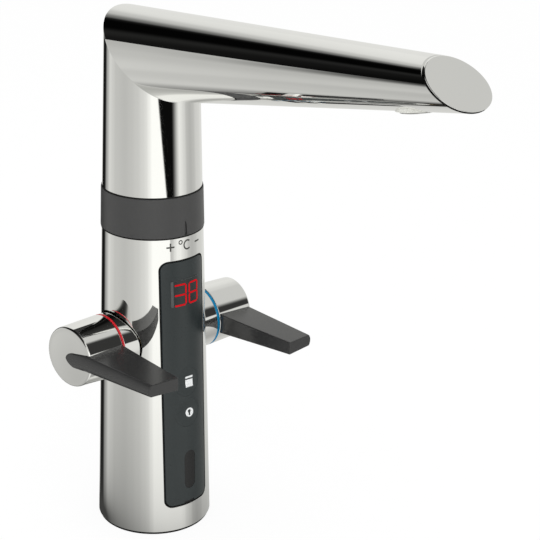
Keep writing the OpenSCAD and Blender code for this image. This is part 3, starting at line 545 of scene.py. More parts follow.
def make_button(name):
    """A shallow dished cap whose rim follows the panel."""
    zc, points = middle_z(name), 96
    face = on_dish(zc)
    rows = [[face(x, z) for x, z in disc_outline(r, 0, zc, points)] for r in DISH_RINGS]
    for into, along, flat, wall in quarter(BUTTON_EDGE, 2):
        row = []
        for x, z in disc_outline(BUTTON_R - along, 0, zc, points):
            out = Vector((x, 0, z - zc)).normalized()
            n = cone_normal(front_theta(x, z)) * flat + out * wall
            row.append((front_point(x, z, BUTTON_RIM_DEPTH + into), n))
        rows.append(row)
    rows.append([(p + BUTTON_SKIRT, Vector((n.x, 0, n.z))) for p, n in rows[-1]])
    b = Build()
    b.grid(rows)
    b.finish(name + "_cap", name, "panel_dark", name)


DISPLAY_LIFT = 0.3
FIGURE_LIFT = DISPLAY_LIFT + 0.04


def make_display():
    """A thin block that follows the round panel, with soft edges. Its sides and a strip down the left of its
    face get a paler colour, a painted highlight of its lit left side.
    """
    outline = dense(display_outline(), FINE_STEP)
    sides = outward(outline)
    edge, thin, strip, grid = 0.12, 0.12, 1.3, (0.5, 0.9)
    rows = []
    for into, along, wall, flat in quarter(edge):
        row = []
        for (x, z), m in zip(outline, sides):
            p, n = on_front(DISPLAY_LIFT - along)(x - m.x * into, z - m.z * into)
            row.append((p, n * flat + m * wall))
        rows.append(row)
    back = [(p + Vector((0, PANEL_T, 0)), n) for p, n in rows[0]]
    inner = [(x - m.x * (strip if m.x < 0 else thin), z - m.z * thin) for (x, z), m in zip(outline, sides)]
    block, face = Build(), Build()
    block.grid([back] + rows + [[on_front(DISPLAY_LIFT)(x, z) for x, z in inner]])
    face.sheet(inner, [], on_front(DISPLAY_LIFT), 1.0, grid)
    # The sides and the strip down the left of the face take the paler display colour: painted highlight.
    block.finish("display_highlight_sides", "body", "window_black", look="display_painted_highlight")
    face.finish("display_block", "body", "window_black", "display_module", look="display_black")


THREE, EIGHT = (0, 1, 2, 3, 6), range(7)


def figure(cx, cz, w, h, stroke, lit):
    """Bars with pointed ends, clockwise from the top, and bar 6 across the middle. Level bars reach further
    left where the left side is dark."""
    across, half, short, gap = w - stroke, (h - stroke) / 2, stroke / 2, 0.1
    places = [(0, half), (1, half / 2), (1, -half / 2), (0, -half), (-1, -half / 2), (-1, half / 2), (0, 0)]
    reach = 0 if 4 in lit else 0.9
    for i in lit:
        sx, z = places[i]
        long = (half if sx else across) / 2 - gap
        bar = [(-long, 0), (-long + short, -short), (long - short, -short)]
        bar += [(-u, -v) for u, v in bar]
        if sx:
            bar = [(v, u) for u, v in bar]
        else:
            bar = [(u - reach if u < 0 else u, v) for u, v in bar]
        yield [(cx + sx * across / 2 + u, cz + z + v) for u, v in bar]


def make_figures():
    """The lit figures, 38, a hair in front of the display."""
    both, h = size_mm("display_digits")
    w, wider, stroke, right, drop = 6.9, 0.2, 0.98, 0.7, 0.45
    pitch = both - w + wider
    b = Build()
    for cx, lit in ((-pitch / 2, THREE), (pitch / 2, EIGHT)):
        for outline in figure(cx + right, middle_z("display_digits") - drop, w, h, stroke, lit):
            b.sheet(dense(outline, FINE_STEP), [], on_front(FIGURE_LIFT))
    b.finish("display_figures", "body", "digit_red", "display_digits")


def make_ring():
    """The temperature ring with its pointer groove."""
    b = Build()
    z0, z1 = RING_LOW.z, RING_HIGH.z
    proud, edge, groove_depth, bore = 0.5, 0.45, 0.8, 19.1
    half, narrower, tip, shoulder = 0.85, 0.1, z0 + 8.3, z0 + 5.0
    low = z0 + edge
    foot = low + 0.01
    cut = [(-half, foot), (half, foot), (half - narrower, shoulder), (0.0, tip), (narrower - half, shoulder)]
    cut = dense(cut, MARK_STEP)
    b.sheet(band(low, z1 - edge), [to_cone(cut, -proud)], on_cone(-proud), BASE_R, (TURN_STEP, 4.0))
    b.grid([[(front_point(x, z, d, -proud), -m) for (x, z), m in zip(cut, outward(cut))]
            for d in (0.0, groove_depth)])
    b.sheet(cut, [], lambda x, z: (front_point(x, z, groove_depth, -proud), Vector((0, -1, 0))))
    for z, up in ((z0, -1), (z1, 1)):
        band_end(b, z, up, edge, -proud, bore)
    b.finish("ring_grip", "ring", "ring_grey", "temperature_ring")


def make_ring_gap_shade():
    """Black rings set in the gaps above and below the ring, between it and the chrome: painted shade in those
    gaps.
    """
    proud, deep, near, far, edge = 0.28, 4, 0.02, 0.65, 0.1
    for name, body, z, up in (("painted_shade_under_ring", "body", RING_LOW.z, -1),
                              ("painted_shade_over_ring", "ring", RING_HIGH.z, 1)):
        r = body_r(z) + proud
        corners = [(r - deep, z + near * up), (r, z + near * up), (r, z + far * up), (r - deep, z + far * up)]
        # These black rubber rings stand for the shade in the gaps; they are painted shade, not parts.
        lathe(corners[::up], edge, upright).finish(name, body, "rubber")


# Spout

ARM_AXIS = Vector((0, -math.cos(ARM_RISE), math.sin(ARM_RISE)))
ARM_UP = Vector((0, math.sin(ARM_RISE), math.cos(ARM_RISE)))
ARM_SIDE = Vector((1, 0, 0))
ARM_ORIGIN = Vector((0, 0, ARM_Z))
ARM_ROOT_W = body_r(ARM_Z)
ARM_NARROW, ARM_THIN = (ARM_TIP_W - ARM_ROOT_W) / ARM_L, (ARM_TIP_H - ARM_ROOT_H) / ARM_L
SPOUT_TURNS = turns(RING_POINTS)
FOOT_EDGE, MITRE_BLEND, TURRET_STEPS, ARM_STEPS, INNER_START = 0.3, 0.22, 12, 40, 60


def arm_point(x, phi, inset=0.0):
    """A point of the tapering elliptical arm; phi 0 is its underside, pi its top, pi/2 its +X side."""
    w, h = ARM_ROOT_W + ARM_NARROW * x - inset, ARM_ROOT_H + ARM_THIN * x - inset
    return ARM_ORIGIN + ARM_AXIS * x + ARM_SIDE * (w * math.sin(phi)) - ARM_UP * (h * math.cos(phi))


def arm_normal(x, phi):
    w, h = ARM_ROOT_W + ARM_NARROW * x, ARM_ROOT_H + ARM_THIN * x
    s, u = w * math.sin(phi), -h * math.cos(phi)
    along = s * s / w ** 3 * ARM_NARROW + u * u / h ** 3 * ARM_THIN
    return (ARM_SIDE * (s / w ** 2) + ARM_UP * (u / h ** 2) - ARM_AXIS * along).normalized()


def line_cut(at, plane):
    """How far along a straight line at(x) it meets a plane, given as (point, normal)."""
    point, normal = plane
    span = 100.0
    a, b = ((at(x) - point).dot(normal) for x in (0.0, span))
    return span * a / (a - b)


def arm_cut(phi, plane, inset=0.0):
    return line_cut(lambda x: arm_point(x, phi, inset), plane)


def mitre_ends():
    """Where the arm's underside meets the column's front, and its top the column's back."""
    return [arm_point(arm_cut(turn, (cone_point(turn, 0), cone_normal(turn))), turn)
            for turn in (0.0, math.pi)]


MITRE_FRONT, MITRE_BACK = mitre_ends()
MITRE_ALONG = (MITRE_BACK - MITRE_FRONT).normalized()
MITRE = MITRE_FRONT, Vector((0, -MITRE_ALONG.z, MITRE_ALONG.y))
FACE_N = ARM_AXIS * math.cos(ARM_FACE) + ARM_UP * math.sin(ARM_FACE)


def face_plane(depth):
    """The slanted end of the arm, or the plane that far behind it."""
    return ARM_ORIGIN + ARM_AXIS * ARM_L - FACE_N * depth, FACE_N


def seam_angle(p):
    """Angle round the middle of the mitre, 0 at its front."""
    d = p - (MITRE_FRONT + MITRE_BACK) / 2
    return math.atan2(d.x, -d.y)


def seam(theta):
    """Where the column's line theta meets the mitre, and the arm's line phi that meets it there."""
    reach, halvings = 0.6, 40
    column = cone_point(theta, line_cut(lambda z: cone_point(theta, z), MITRE))
    low, high = theta - reach, theta + reach
    for _ in range(halvings):
        phi = (low + high) / 2
        arm = arm_point(arm_cut(phi, MITRE), phi)
        ahead = (seam_angle(arm) - seam_angle(column) + math.pi) % (2 * math.pi) - math.pi
        low, high = (low, phi) if ahead > 0 else (phi, high)
    return (column + arm) / 2, phi


def turret_rows(lines):
    """The column's part, from its rounded foot to just under the mitre."""
    z0 = SPOUT_LOW.z
    rows = [[(cone_point(t, z0 + along, into), cone_normal(t) * side + Vector((0, 0, -end)))
             for t in SPOUT_TURNS] for into, along, side, end in reversed(list(quarter(FOOT_EDGE)))]
    for k in range(1, TURRET_STEPS + 1):
        row = []
        for t, point, *_ in lines:
            low = cone_point(t, z0 + FOOT_EDGE)
            top = point + (low - point).normalized() * MITRE_BLEND
            row.append((low.lerp(top, k / TURRET_STEPS), cone_normal(t)))
        rows.append(row)
    return rows


def arm_rows(lines):
    """The arm's part, from just past the mitre to its slanted end."""
    rows = []
    for k in range(ARM_STEPS + 1):
        row = []
        for _, point, phi, x0, x1, end in lines:
            begin = point + (end - point).normalized() * MITRE_BLEND
            row.append((begin.lerp(end, k / ARM_STEPS), arm_normal(x0 + (x1 - x0) * k / ARM_STEPS, phi)))
        rows.append(row)
    return rows


def make_spout():
    """Turret and arm in one skin, with a soft edge at the mitre and an open slanted end. Each line runs up
    the turret at an angle t, over its point of the mitre, and out along the arm at phi, from x0 to x1."""
    b = Build()
    end_plane = face_plane(ARM_END_DEPTH)
    lines = []
    for t in SPOUT_TURNS:
        point, phi = seam(t)
        x0, x1 = arm_cut(phi, MITRE), arm_cut(phi, end_plane)
        lines.append((t, point, phi, x0, x1, arm_point(x1, phi)))
    mitre = [(point, cone_normal(t) + arm_normal(x0, phi)) for t, point, phi, x0, _, _ in lines]
    b.grid(turret_rows(lines) + [mitre] + arm_rows(lines))
    phis = [line[2] for line in lines]
    rim = [arm_point(arm_cut(phi, end_plane, SPOUT_WALL), phi, SPOUT_WALL) for phi in phis]
    b.grid([[(p, FACE_N) for p in ring] for ring in ([line[5] for line in lines], rim)])
    b.grid([[(p, -arm_normal(ARM_L, phi)) for p, phi in zip(rim, phis)],
            [(arm_point(INNER_START, phi, SPOUT_WALL), -arm_normal(INNER_START, phi)) for phi in phis]])
    z0 = SPOUT_LOW.z
    foot = [(body_r(z0) - inset, z0, 0, -1) for inset in (FOOT_EDGE, SPOUT_WALL)]
    b.grid(lathe_rows(foot, RING_POINTS, upright))
    b.finish("spout_skin", "spout", "chrome", "spout")


def face_ring(depth, least, side, end):
    """A ring round the arm's slanted end; it keeps further in at the bottom than at the top."""
    row = []
    for phi in SPOUT_TURNS:
        wall = arm_normal(ARM_L, phi)
        inset = least - CAP_RAISE * wall.dot(ARM_UP)
        flat = (wall - FACE_N * wall.dot(FACE_N)).normalized()
        p = arm_point(arm_cut(phi, face_plane(depth), inset), phi, inset)
        row.append((p, flat * side + FACE_N * end))
    return row


def make_cap():
    """The end plate: a thin polished face with a fine rim, on a narrower dark holder. The holder is a gasket,
    and its black also paints the shade in the gap under the plate.
    """
    face, holder = Build(), Build()
    thick, rim, draw, holder_end, back_inset = 0.4, 0.18, 0.9, CAP_T + 1.5, 0.4
    rows = [face_ring(thick, CAP_INSET, 1, 0)]
    rows += [face_ring(along, CAP_INSET + into, side, end) for into, along, side, end in quarter(rim)]
    face.grid(rows)
    face.disc(rows[-1], FACE_N)
    face.disc(rows[0], -FACE_N)
    face.finish("spout_end_plate", "spout", "chrome", "spout_cap")
    # The holder's black is partly the gasket's own colour and partly painted shade in the gap under the
    # plate.
    holder.grid([face_ring(depth, CAP_INSET + draw, 1, 0) for depth in (thick, holder_end)])
    holder.disc(face_ring(CAP_T, back_inset, 0, 1), FACE_N)
    holder.finish("spout_end_gasket_shade", "spout", "rubber")


# Handles. They are drawn for the +X side and mirrored for the other.

HUB_SLOPE = (HUB_R - HUB_END_R) / (HUB_END_X - HUB_LOW.x)
HUB_ENDS = {"hot": (HUB_END_X, HUB_FACE), "cold": (HUB_END_X + 1.0, math.radians(1.5))}
HUB_BORE, HUB_ROOT_EDGE, HUB_RIM, HUB_DOME, HUB_RINGS = 12.0, 0.35, 1.1, 0.4, 8
RING_TRIM = {"hot": 0.5, "cold": 0.1}
LEVER_TURN = {"hot": math.radians(1.1), "cold": math.radians(-1.1)}


def hub_ring(x_at, into, face, end):
    """A ring of the hub at x_at(y); face is the share of its wall's normal, and end is added to it."""
    row = []
    for c, s in circle():
        x = x_at(HUB_END_R * c)
        r = HUB_R - HUB_SLOPE * (x - HUB_LOW.x) - into
        row.append((Vector((x, r * c, HANDLE_Z + r * s)), Vector((HUB_SLOPE, c, s)) * face + end))
    return row


def hub_dome(flat_x, turn, end_n):
    """Rings of the hub's end, from its rim to a tiny hole in the middle."""
    edge, hole = HUB_END_R - HUB_RIM, 0.01
    rows = []
    for k in range(1, HUB_RINGS + 1):
        r = edge * (1 - k / HUB_RINGS) + hole
        lean = 2 * HUB_DOME * r / edge ** 2
        row = []
        for c, s in circle():
            x = flat_x + r * c * math.tan(turn) + HUB_DOME * (1 - (r / edge) ** 2)
            row.append((Vector((x, r * c, HANDLE_Z + r * s)), end_n + Vector((0, c, s)) * lean))
        rows.append(row)
    return rows


def make_hub(kind, side):
    """A barrel that tapers a little to its slightly domed end, which is turned a little to the front."""
    b = Build()
    root = Vector((-1, 0, 0))
    end_x, turn = HUB_ENDS[kind]
    flat_x = end_x - HUB_DOME
    end_n = Vector((math.cos(turn), -math.sin(turn), 0))
    rows = [hub_ring(lambda y: HUB_LOW.x, HUB_R - HUB_BORE, 0, root)]
    for into, along, face, end in reversed(list(quarter(HUB_ROOT_EDGE))):
        rows.append(hub_ring(lambda y: HUB_LOW.x + along, into, face, root * end))
    for into, along, face, end in quarter(HUB_RIM, HUB_RINGS):
        rows.append(hub_ring(lambda y: flat_x + y * math.tan(turn) - along, into, face, end_n * end))
    b.grid([mirrored(row, side) for row in rows + hub_dome(flat_x, turn, end_n)])
    b.finish("hub_%s_skin" % kind, "handle_" + kind, "chrome", "hub_" + kind)


def make_sleeve(kind, side):
    """The chrome boss on the column, and the colour ring on its end."""
    bore, edge, ring_edge = 12.2, 0.2, 0.12
    low, high = box_mm("sleeve_cold")
    end, ring_end = high.x + RING_TRIM[kind], box_mm("cold_ring")[1].x
    sleeve = lathe([(HUB_R, low.x), (HUB_R, end), (bore, end)], edge, sideways(side))
    sleeve.finish("sleeve_%s_skin" % kind, "body", "chrome", "sleeve_" + kind)
    corners = [(bore, end), (HUB_R, end), (HUB_R, ring_end), (bore, ring_end)]
    ring = lathe(corners, ring_edge, sideways(side))
    ring.finish("colour_ring_" + kind, "body", "hot_red" if kind == "hot" else "cold_blue", kind + "_ring")


# The blade's outline at one place along it: heights of its outer side, the radius of that side and the height
# of its middle, and how much taller the blade is inside.
Station = namedtuple("Station", "top bottom round_r round_z taller")


def between(first, second, t):
    return Station(*(a + (b - a) * t for a, b in zip(first, second)))


LEVER_NOSE = Station(LEVER_NOSE_Z + LEVER_NOSE_UP, LEVER_NOSE_Z - LEVER_NOSE_DOWN, 12.0, LEVER_NOSE_Z, 0.31)
LEVER_ROOT = Station(HANDLE_Z + 4.3, HANDLE_Z - 4.1, 6.5, HANDLE_Z + 0.2, 0.31)
LEVER_TIP = Station(HANDLE_Z + 4.7, HANDLE_Z - 1.5, 4.6, HANDLE_Z + 1.4, 0.1)
LEVER_FALL = (LEVER_TIP.top - LEVER_ROOT.top) / LEVER_LENGTH
LEVER_RISE = (LEVER_TIP.bottom - LEVER_ROOT.bottom) / LEVER_LENGTH
LEVER_END_N = Vector((LEVER_END_SLANT, -LEVER_END_W, 0)).normalized()
NOSE_ROUND, NOSE_START, NOSE_STEPS, NECK_STEPS, NECK_LEAN = 0.75, 3, 11, 6, 0.15
ROUND_STEPS, BLADE_STEPS = 14, 24


def lever_section(y, x_in, station, up, down, end_slant=0.0, into=0.0):
    """The blade's outline across its length: flat inside, top and bottom, round outside. end_slant moves the
    outer side back, and into draws the outline in."""
    x_out = LEVER_OUT_X + y * math.tan(LEVER_OUT_TURN) - into
    x_in, z0, z1, r = x_in + into, station.bottom + into, station.top - into, station.round_r - into
    edge = min(LEVER_EDGE, CUT_MOST * (z1 - z0) / 2)
    cx, cz, middle = x_out - r, station.round_z, (z0 + z1) / 2
    first, last = math.asin((z1 - cz) / r) - edge / r, math.asin((z0 - cz) / r) + edge / r
    in_sight = x_in < LEVER_HIDDEN_X
    inner = Vector((-1, -LEVER_IN_DRAW / LEVER_LENGTH if in_sight else 0.0, 0))

    def flat(x, z):
        share = (x - x_in) / (x_out - x_in)
        tall = 1 + station.taller * (1 - share) if in_sight else 1
        return Vector((x, y + end_slant * share, middle + (z - middle) * tall))

    def tip(z, back=0.0):
        return flat(cx + math.sqrt(max(r * r - (z - cz) ** 2, 0)) - back, z)

    def round_side(a):
        return flat(cx + r * math.cos(a), cz + r * math.sin(a))

    def round_n(a):
        return Vector((math.cos(a), -math.tan(LEVER_OUT_TURN) * math.cos(a), math.sin(a)))

    row = list(corner(flat(x_in + edge, z0), flat(x_in, z0), flat(x_in, z0 + edge), down, inner))
    row += corner(flat(x_in, z1 - edge), flat(x_in, z1), flat(x_in + edge, z1), inner, up)
    row += corner(tip(z1, edge), tip(z1), round_side(first), up, round_n(first))
    for k in range(1, ROUND_STEPS):
        a = first + (last - first) * k / ROUND_STEPS
        row.append((round_side(a), round_n(a)))
    row += corner(round_side(last), tip(z0), tip(z0, edge), round_n(last), down)
    return row


def lever_faces(station, width):
    """Normals of the blade's top and bottom, which lean out across its width."""
    lean = station.taller * (station.top - station.bottom) / 2 / width
    return Vector((lean, LEVER_FALL, 1)), Vector((lean, -LEVER_RISE, -1))


def nose_rows():
    """The round nose that shows on the hub's end, and the neck from it to the blade."""
    rows = []
    for k in range(NOSE_STEPS + 1):
        turn = math.radians(NOSE_START + (90 - NOSE_START) * k / NOSE_STEPS)
        c, s = math.cos(turn), math.sin(turn)
        deep = LEVER_NOSE_DOWN * (NOSE_ROUND * s + (1 - NOSE_ROUND) * (1 - c))
        top = LEVER_NOSE_Z + LEVER_NOSE_UP * s
        station = Station(top, LEVER_NOSE_Z - deep, LEVER_NOSE.round_r, LEVER_NOSE_Z, 0)
        rows.append(lever_section(LEVER_NOSE_Y + LEVER_NOSE_R * c, LEVER_HIDDEN_X, station,
                                  Vector((0, c, s)), Vector((0, c * NOSE_ROUND + 1 - NOSE_ROUND, -1))))
    for k in range(1, NECK_STEPS + 1):
        y = LEVER_NOSE_Y + (LEVER_START_Y - LEVER_NOSE_Y) * k / NECK_STEPS
        rows.append(lever_section(y, LEVER_HIDDEN_X, between(LEVER_NOSE, LEVER_ROOT, k / NECK_STEPS),
                                  Vector((0, 0, 1)), Vector((0, -NECK_LEAN, -1))))
    return rows


def blade_rows():
    """The blade, from the hub to its rounded, slanted end."""
    rows = []
    for k in range(BLADE_STEPS + 1):
        t = k / BLADE_STEPS
        station = between(LEVER_ROOT, LEVER_TIP, t)
        y, x_in = LEVER_START_Y - (LEVER_LENGTH - LEVER_EDGE) * t, LEVER_IN_ROOT + LEVER_IN_DRAW * t
        rows.append(lever_section(y, x_in, station, *lever_faces(station, LEVER_W), LEVER_END_SLANT * t))
    for into, along, face, end in list(quarter(LEVER_EDGE))[1:]:
        row = lever_section(along - LEVER_REACH, LEVER_IN_ROOT + LEVER_IN_DRAW, LEVER_TIP,
                            *lever_faces(LEVER_TIP, LEVER_TIP_W), LEVER_END_SLANT, into)
        rows.append([(p, n.normalized() * face + LEVER_END_N * end) for p, n in row])
    return rows


def turned(row, kind, side):
    """Turns a lever's points and normals a little about the handle's axis, and mirrors them."""
    c, s = math.cos(LEVER_TURN[kind]), math.sin(LEVER_TURN[kind])
    res = []
    for p, n in row:
        h = p.z - HANDLE_Z
        res.append((Vector((p.x, p.y * c + h * s, HANDLE_Z + h * c - p.y * s)),
                    Vector((n.x, n.y * c + n.z * s, n.z * c - n.y * s))))
    return mirrored(res, side)


def make_lever(kind, side):
    """A blade with a round nose, drawn in towards a slanted tip."""
    b = Build()
    rows = [turned(row, kind, side) for row in nose_rows() + blade_rows()]
    b.grid(rows)
    b.disc(rows[-1], turned([(LEVER_END_N, LEVER_END_N)], kind, side)[0][1])
    b.finish("lever_%s_blade" % kind, "handle_" + kind, "lever_charcoal", "lever_" + kind)


# Printed marks and pictograms: generic signs only. A shape is an outline and its holes.

MARK_W, MARK_Z, DEGREE_Z, MARK_LIFT, SIGN_LIFT = 0.82, 159.1, 161.0, 0.02, 0.09
PLUS_W, MINUS_W = 4.3, 3.8


def plus_sign():
    """A level bar and the two halves of an upright one."""
    halves = [(rect(MARK_W, (PLUS_W - MARK_W) / 2, 0, up * (PLUS_W + MARK_W) / 4), []) for up in (1, -1)]
    return [(rect(PLUS_W, MARK_W), [])] + halves


def wrapped(loop, theta, height):
    """Lays an outline round the cone, with its middle at an angle and a height."""
    return [(theta + x / body_r(height), height + dz) for x, dz in loop]


def make_marks():
    """Plus, degrees C and minus under the ring."""
    b = Build()
    dot_r, dot_hole_r, letter_r, letter_x, squeeze, mouth = 1.22, 0.66, 2.3, 0.3, 0.95, 48
    degree = [(disc_outline(dot_r), [disc_outline(dot_hole_r)])]
    letter = [(arc_stroke(letter_x, 0, letter_r, MARK_W, mouth, 360 - mouth, squeeze), [])]
    minus = [(rect(MINUS_W, MARK_W), [])]
    for degrees, height, shapes in ((-19.0, MARK_Z, plus_sign()), (-6.5, DEGREE_Z, degree),
                                    (2.2, MARK_Z, letter), (19.4, MARK_Z, minus)):
        theta = math.radians(degrees)
        for outline, holes in shapes:
            b.sheet(wrapped(outline, theta, height), [wrapped(h, theta, height) for h in holes],
                    on_cone(-MARK_LIFT), BASE_R)
    b.finish("scale_marks", "body", "ring_grey", look="mark_grey")


def make_pictogram(name, shapes):
    """Flat signs laid on a button's dish."""
    b = Build()
    for outline, holes in shapes:
        b.sheet(outline, holes, on_dish(middle_z(name), SIGN_LIFT), 1.0, (FINE_STEP, FINE_STEP))
    b.finish(name + "_sign", name, "bearing", look="icon_white")


def make_pictograms():
    """A tank under its lid, and a disc with a keyhole."""
    x, upper_z, lower_z, w, disc_r = 1.95, 84.2, 66.6, 4.6, 2.45
    lid_h, lid_up, tank_h, tank_drop = 1.15, 2.3, 4.0, 1.1
    hole_r, hole_up, slot_half, slot_drop, slot_turn, steps = 0.95, 0.6, 0.48, 1.7, 60, 20
    tank = [(rect(w, lid_h, x, upper_z + lid_up), []), (rect(w, tank_h, x, upper_z - tank_drop), [])]
    hole = list(arc(x, lower_z + hole_up, hole_r, hole_r, -slot_turn, 180 + slot_turn, steps))
    hole += [(x + sx * slot_half, lower_z - slot_drop) for sx in (-1, 1)]
    lock = [(disc_outline(disc_r, x, lower_z), [dense(hole, FINE_STEP)])]
    make_pictogram("button_upper", tank)
    make_pictogram("button_lower", lock)


# Materials

def node(tree, kind, inputs=(), **settings):
    """Makes a shader node with its settings, and its inputs' values or links; returns its outputs."""
    made = tree.nodes.new("ShaderNode" + kind)
    for key, value in settings.items():
        setattr(made, key, value)
    for key, value in dict(inputs).items():
        if isinstance(value, bpy.types.NodeSocket):
            tree.links.new(value, made.inputs[key])
        else:
            made.inputs[key].default_value = value
    return made.outputs


def noise(tree, coord, scale, detail, stretch=(1, 1, 1)):
    mapping = node(tree, "Mapping", {"Vector": coord, "Scale": stretch})
    look = {"Vector": mapping[0], "Scale": scale, "Detail": detail}
    return node(tree, "TexNoise", look)["Fac"]


def spread(tree, fac, low, high):
    look = {"Value": fac, "From Min": 0.3, "From Max": 0.7, "To Min": low, "To Max": high}
    return node(tree, "MapRange", look)["Result"]


def tint(tree, fac, low, high):
    look = {"Factor": fac, "A": (*low, 1), "B": (*high, 1)}
    return node(tree, "Mix", look, data_type="RGBA")["Result"]


def maths(tree, operation, a, b, **settings):
    return node(tree, "Math", {0: a, 1: b}, operation=operation, **settings)[0]


def mix(tree, fac, a, b):
    return node(tree, "MixShader", {0: fac, 1: a, 2: b})[0]


def bare_tree(owner):
    """The node tree of a material or world, emptied."""
    owner.use_nodes = True
    owner.node_tree.nodes.clear()
    return owner.node_tree


CLOUD_SCALE, RELIEF_MM = 0.06, 0.1


def material(name, colour, rough, metal=0.0, vary=0.03, rough_vary=0.05, scale=2500.0, bump=0.0,
             stretch=(1, 1, 1), glow=0.0, shine=0.5):
    """A surface with fine grain: its colour, roughness and relief all vary a little."""
    mat = bpy.data.materials.new(name)
    mat.use_nodes = True
    tree = mat.node_tree
    bsdf = tree.nodes["Principled BSDF"]
    coord = node(tree, "TexCoord")["Object"]
    grain = noise(tree, coord, scale, 4.0, stretch)
    cloud = noise(tree, coord, scale * CLOUD_SCALE, 2.0)
    low, high = ([min(1, c * (1 + turn * vary)) for c in colour] for turn in (-1, 1))
    shade = tint(tree, spread(tree, cloud, 0, 1), low, high)
    roughness = spread(tree, grain, max(rough - rough_vary, 0.01), rough + rough_vary)
    tree.links.new(shade, bsdf.inputs["Base Color"])
    tree.links.new(roughness, bsdf.inputs["Roughness"])
    bsdf.inputs["Metallic"].default_value = metal
    bsdf.inputs["Specular IOR Level"].default_value = shine
    if glow:
        tree.links.new(shade, bsdf.inputs["Emission Color"])
        bsdf.inputs["Emission Strength"].default_value = glow
    if bump:
        relief = node(tree, "Bump", {"Height": grain, "Strength": bump, "Distance": RELIEF_MM * MM})
        tree.links.new(relief[0], bsdf.inputs["Normal"])
    return mat


def lin(v):
    """A screen level as linear light; 255 is white."""
    return v / 255 / 12.92 if v <= 10 else ((v / 255 + 0.055) / 1.055) ** 2.4


def srgb(*levels):
    return tuple(lin(c) for c in levels)


def gloss(name, colour, rough, vary=0.03, scale=1500.0):
    return material(name, colour, rough, vary=vary, rough_vary=0.03, scale=scale)


def machined(name, colour, vary):
    return material(name, colour, 0.3, metal=1.0, vary=vary, rough_vary=0.08, scale=700.0, bump=0.05,
                    stretch=(1, 1, 14))


MATERIALS = {
    "chrome": material("polished chrome", (0.93, 0.93, 0.915), 0.035, metal=1.0, vary=0.008,
                       rough_vary=0.012, scale=400.0),
    "ring_grey": material("ring lacquer", srgb(61, 61, 61), 0.42, bump=0.05),
    "lever_charcoal": material("lever lacquer", srgb(47, 47, 47), 0.24, rough_vary=0.03, bump=0.03),
    "panel_dark": gloss("panel gloss", srgb(35, 42, 43), 0.30, scale=1800.0),
    "display_black": gloss("display glass", srgb(30, 33, 34), 0.25, vary=0.04),
    # Paler copy of the display colour: painted highlight on the display block's sides and left strip.
    "display_painted_highlight": gloss("display painted highlight", srgb(74, 77, 77), 0.35),
    "window_black": gloss("smoked window", srgb(14, 14, 15), 0.22, vary=0.06),
    "hot_red": material("red ring", srgb(200, 32, 42), 0.3, scale=1500.0),
    "cold_blue": material("blue ring", srgb(0, 122, 168), 0.42, scale=1500.0, shine=0.15),
    # Real black rubber, and also the painted shade in the ring's gaps and behind the spout's end plate.
    "rubber": material("black rubber and painted shade", srgb(9, 9, 9), 0.8, vary=0.1, rough_vary=0.08, scale=3000.0, bump=0.2),
    "brass": machined("machined brass", (0.75, 0.56, 0.26), vary=0.06),
    "steel": machined("machined steel", (0.62, 0.62, 0.61), vary=0.05),
    "bearing": material("pale polymer", srgb(225, 225, 218), 0.45, scale=1500.0, bump=0.03),
    "inner_black": material("black moulding", srgb(24, 24, 25), 0.5, vary=0.08, rough_vary=0.08, bump=0.15),
    "board": material("solder mask", srgb(20, 96, 52), 0.35, vary=0.12, rough_vary=0.08, scale=500.0,
                      bump=0.1),
    "digit_red": material("lit red figure", srgb(172, 16, 24), 0.55, scale=1500.0, glow=0.4, shine=0.0),
    "mark_grey": material("printed grey", srgb(62, 62, 58), 0.5),
    "icon_white": material("printed white", srgb(226, 228, 228), 0.5),
}


def paint(obj, mat):
    obj.data.materials.clear()
    obj.data.materials.append(mat)
    for face in obj.data.polygons:
        face.material_index = 0


for part in frame["record"]["subparts"]:
    paint(nodes[part["node"]], MATERIALS[part["material_slot"]])

for make in (make_body, make_panel, make_window, make_display, make_figures, make_ring, make_ring_gap_shade,
             make_spout, make_cap, make_marks, make_pictograms):
    make()
for name in ("button_upper", "button_lower"):
    make_button(name)
for kind, side in (("hot", -1), ("cold", 1)):
    for make in (make_hub, make_sleeve, make_lever):
        make(kind, side)


# Camera: the photo's viewing angle

PITCH, ROLL = 0.3597, 0.0215
HEADING, RIGHT = Vector((0.6866, 0.7270, 0)), Vector((0.7270, -0.6866, 0))
CAMERA_AT = (-0.4694, -0.5848, 0.42066)
PHOTO_PX, FOCAL_PX, SENSOR_MM = 540, 1552.02, 36.0
NEAREST, FARTHEST = 0.05, 60


def make_camera():
    forward = HEADING * math.cos(PITCH) - Vector((0, 0, math.sin(PITCH)))
    down = forward.cross(RIGHT)
    across = RIGHT * math.cos(ROLL) - down * math.sin(ROLL)
    down = RIGHT * math.sin(ROLL) + down * math.cos(ROLL)
    data = bpy.data.cameras.new("camera")
    data.sensor_width = SENSOR_MM
    data.lens = FOCAL_PX / PHOTO_PX * SENSOR_MM
    data.clip_start, data.clip_end = NEAREST, FARTHEST
    camera = add_object("camera", data)
    rows = [(across[i], -down[i], -forward[i], CAMERA_AT[i]) for i in range(3)]
    camera.matrix_world = Matrix((*rows, (0, 0, 0, 1)))
    scene.camera = camera


make_camera()


# Light: white surroundings, two soft lamps, and a pale floor

CENTRE = Vector((0, 0, 0.16))
WHITE, SHADE = (1, 1, 1, 1), (0.05, 0.05, 0.048, 1)
FILL_LEVEL = 0.92
FLOOR_HALF, FLOOR_CELLS, FLOOR_GRAIN, FLOOR_GLOW = 6.0, 24, 60.0, 0.9
FLOOR_PALE, FLOOR_PALER = (0.94,) * 3, (0.97,) * 3
SHADE_FALL, SHADE_FAR, SHADE_AT = 0.0195, 0.045, -0.020 * RIGHT


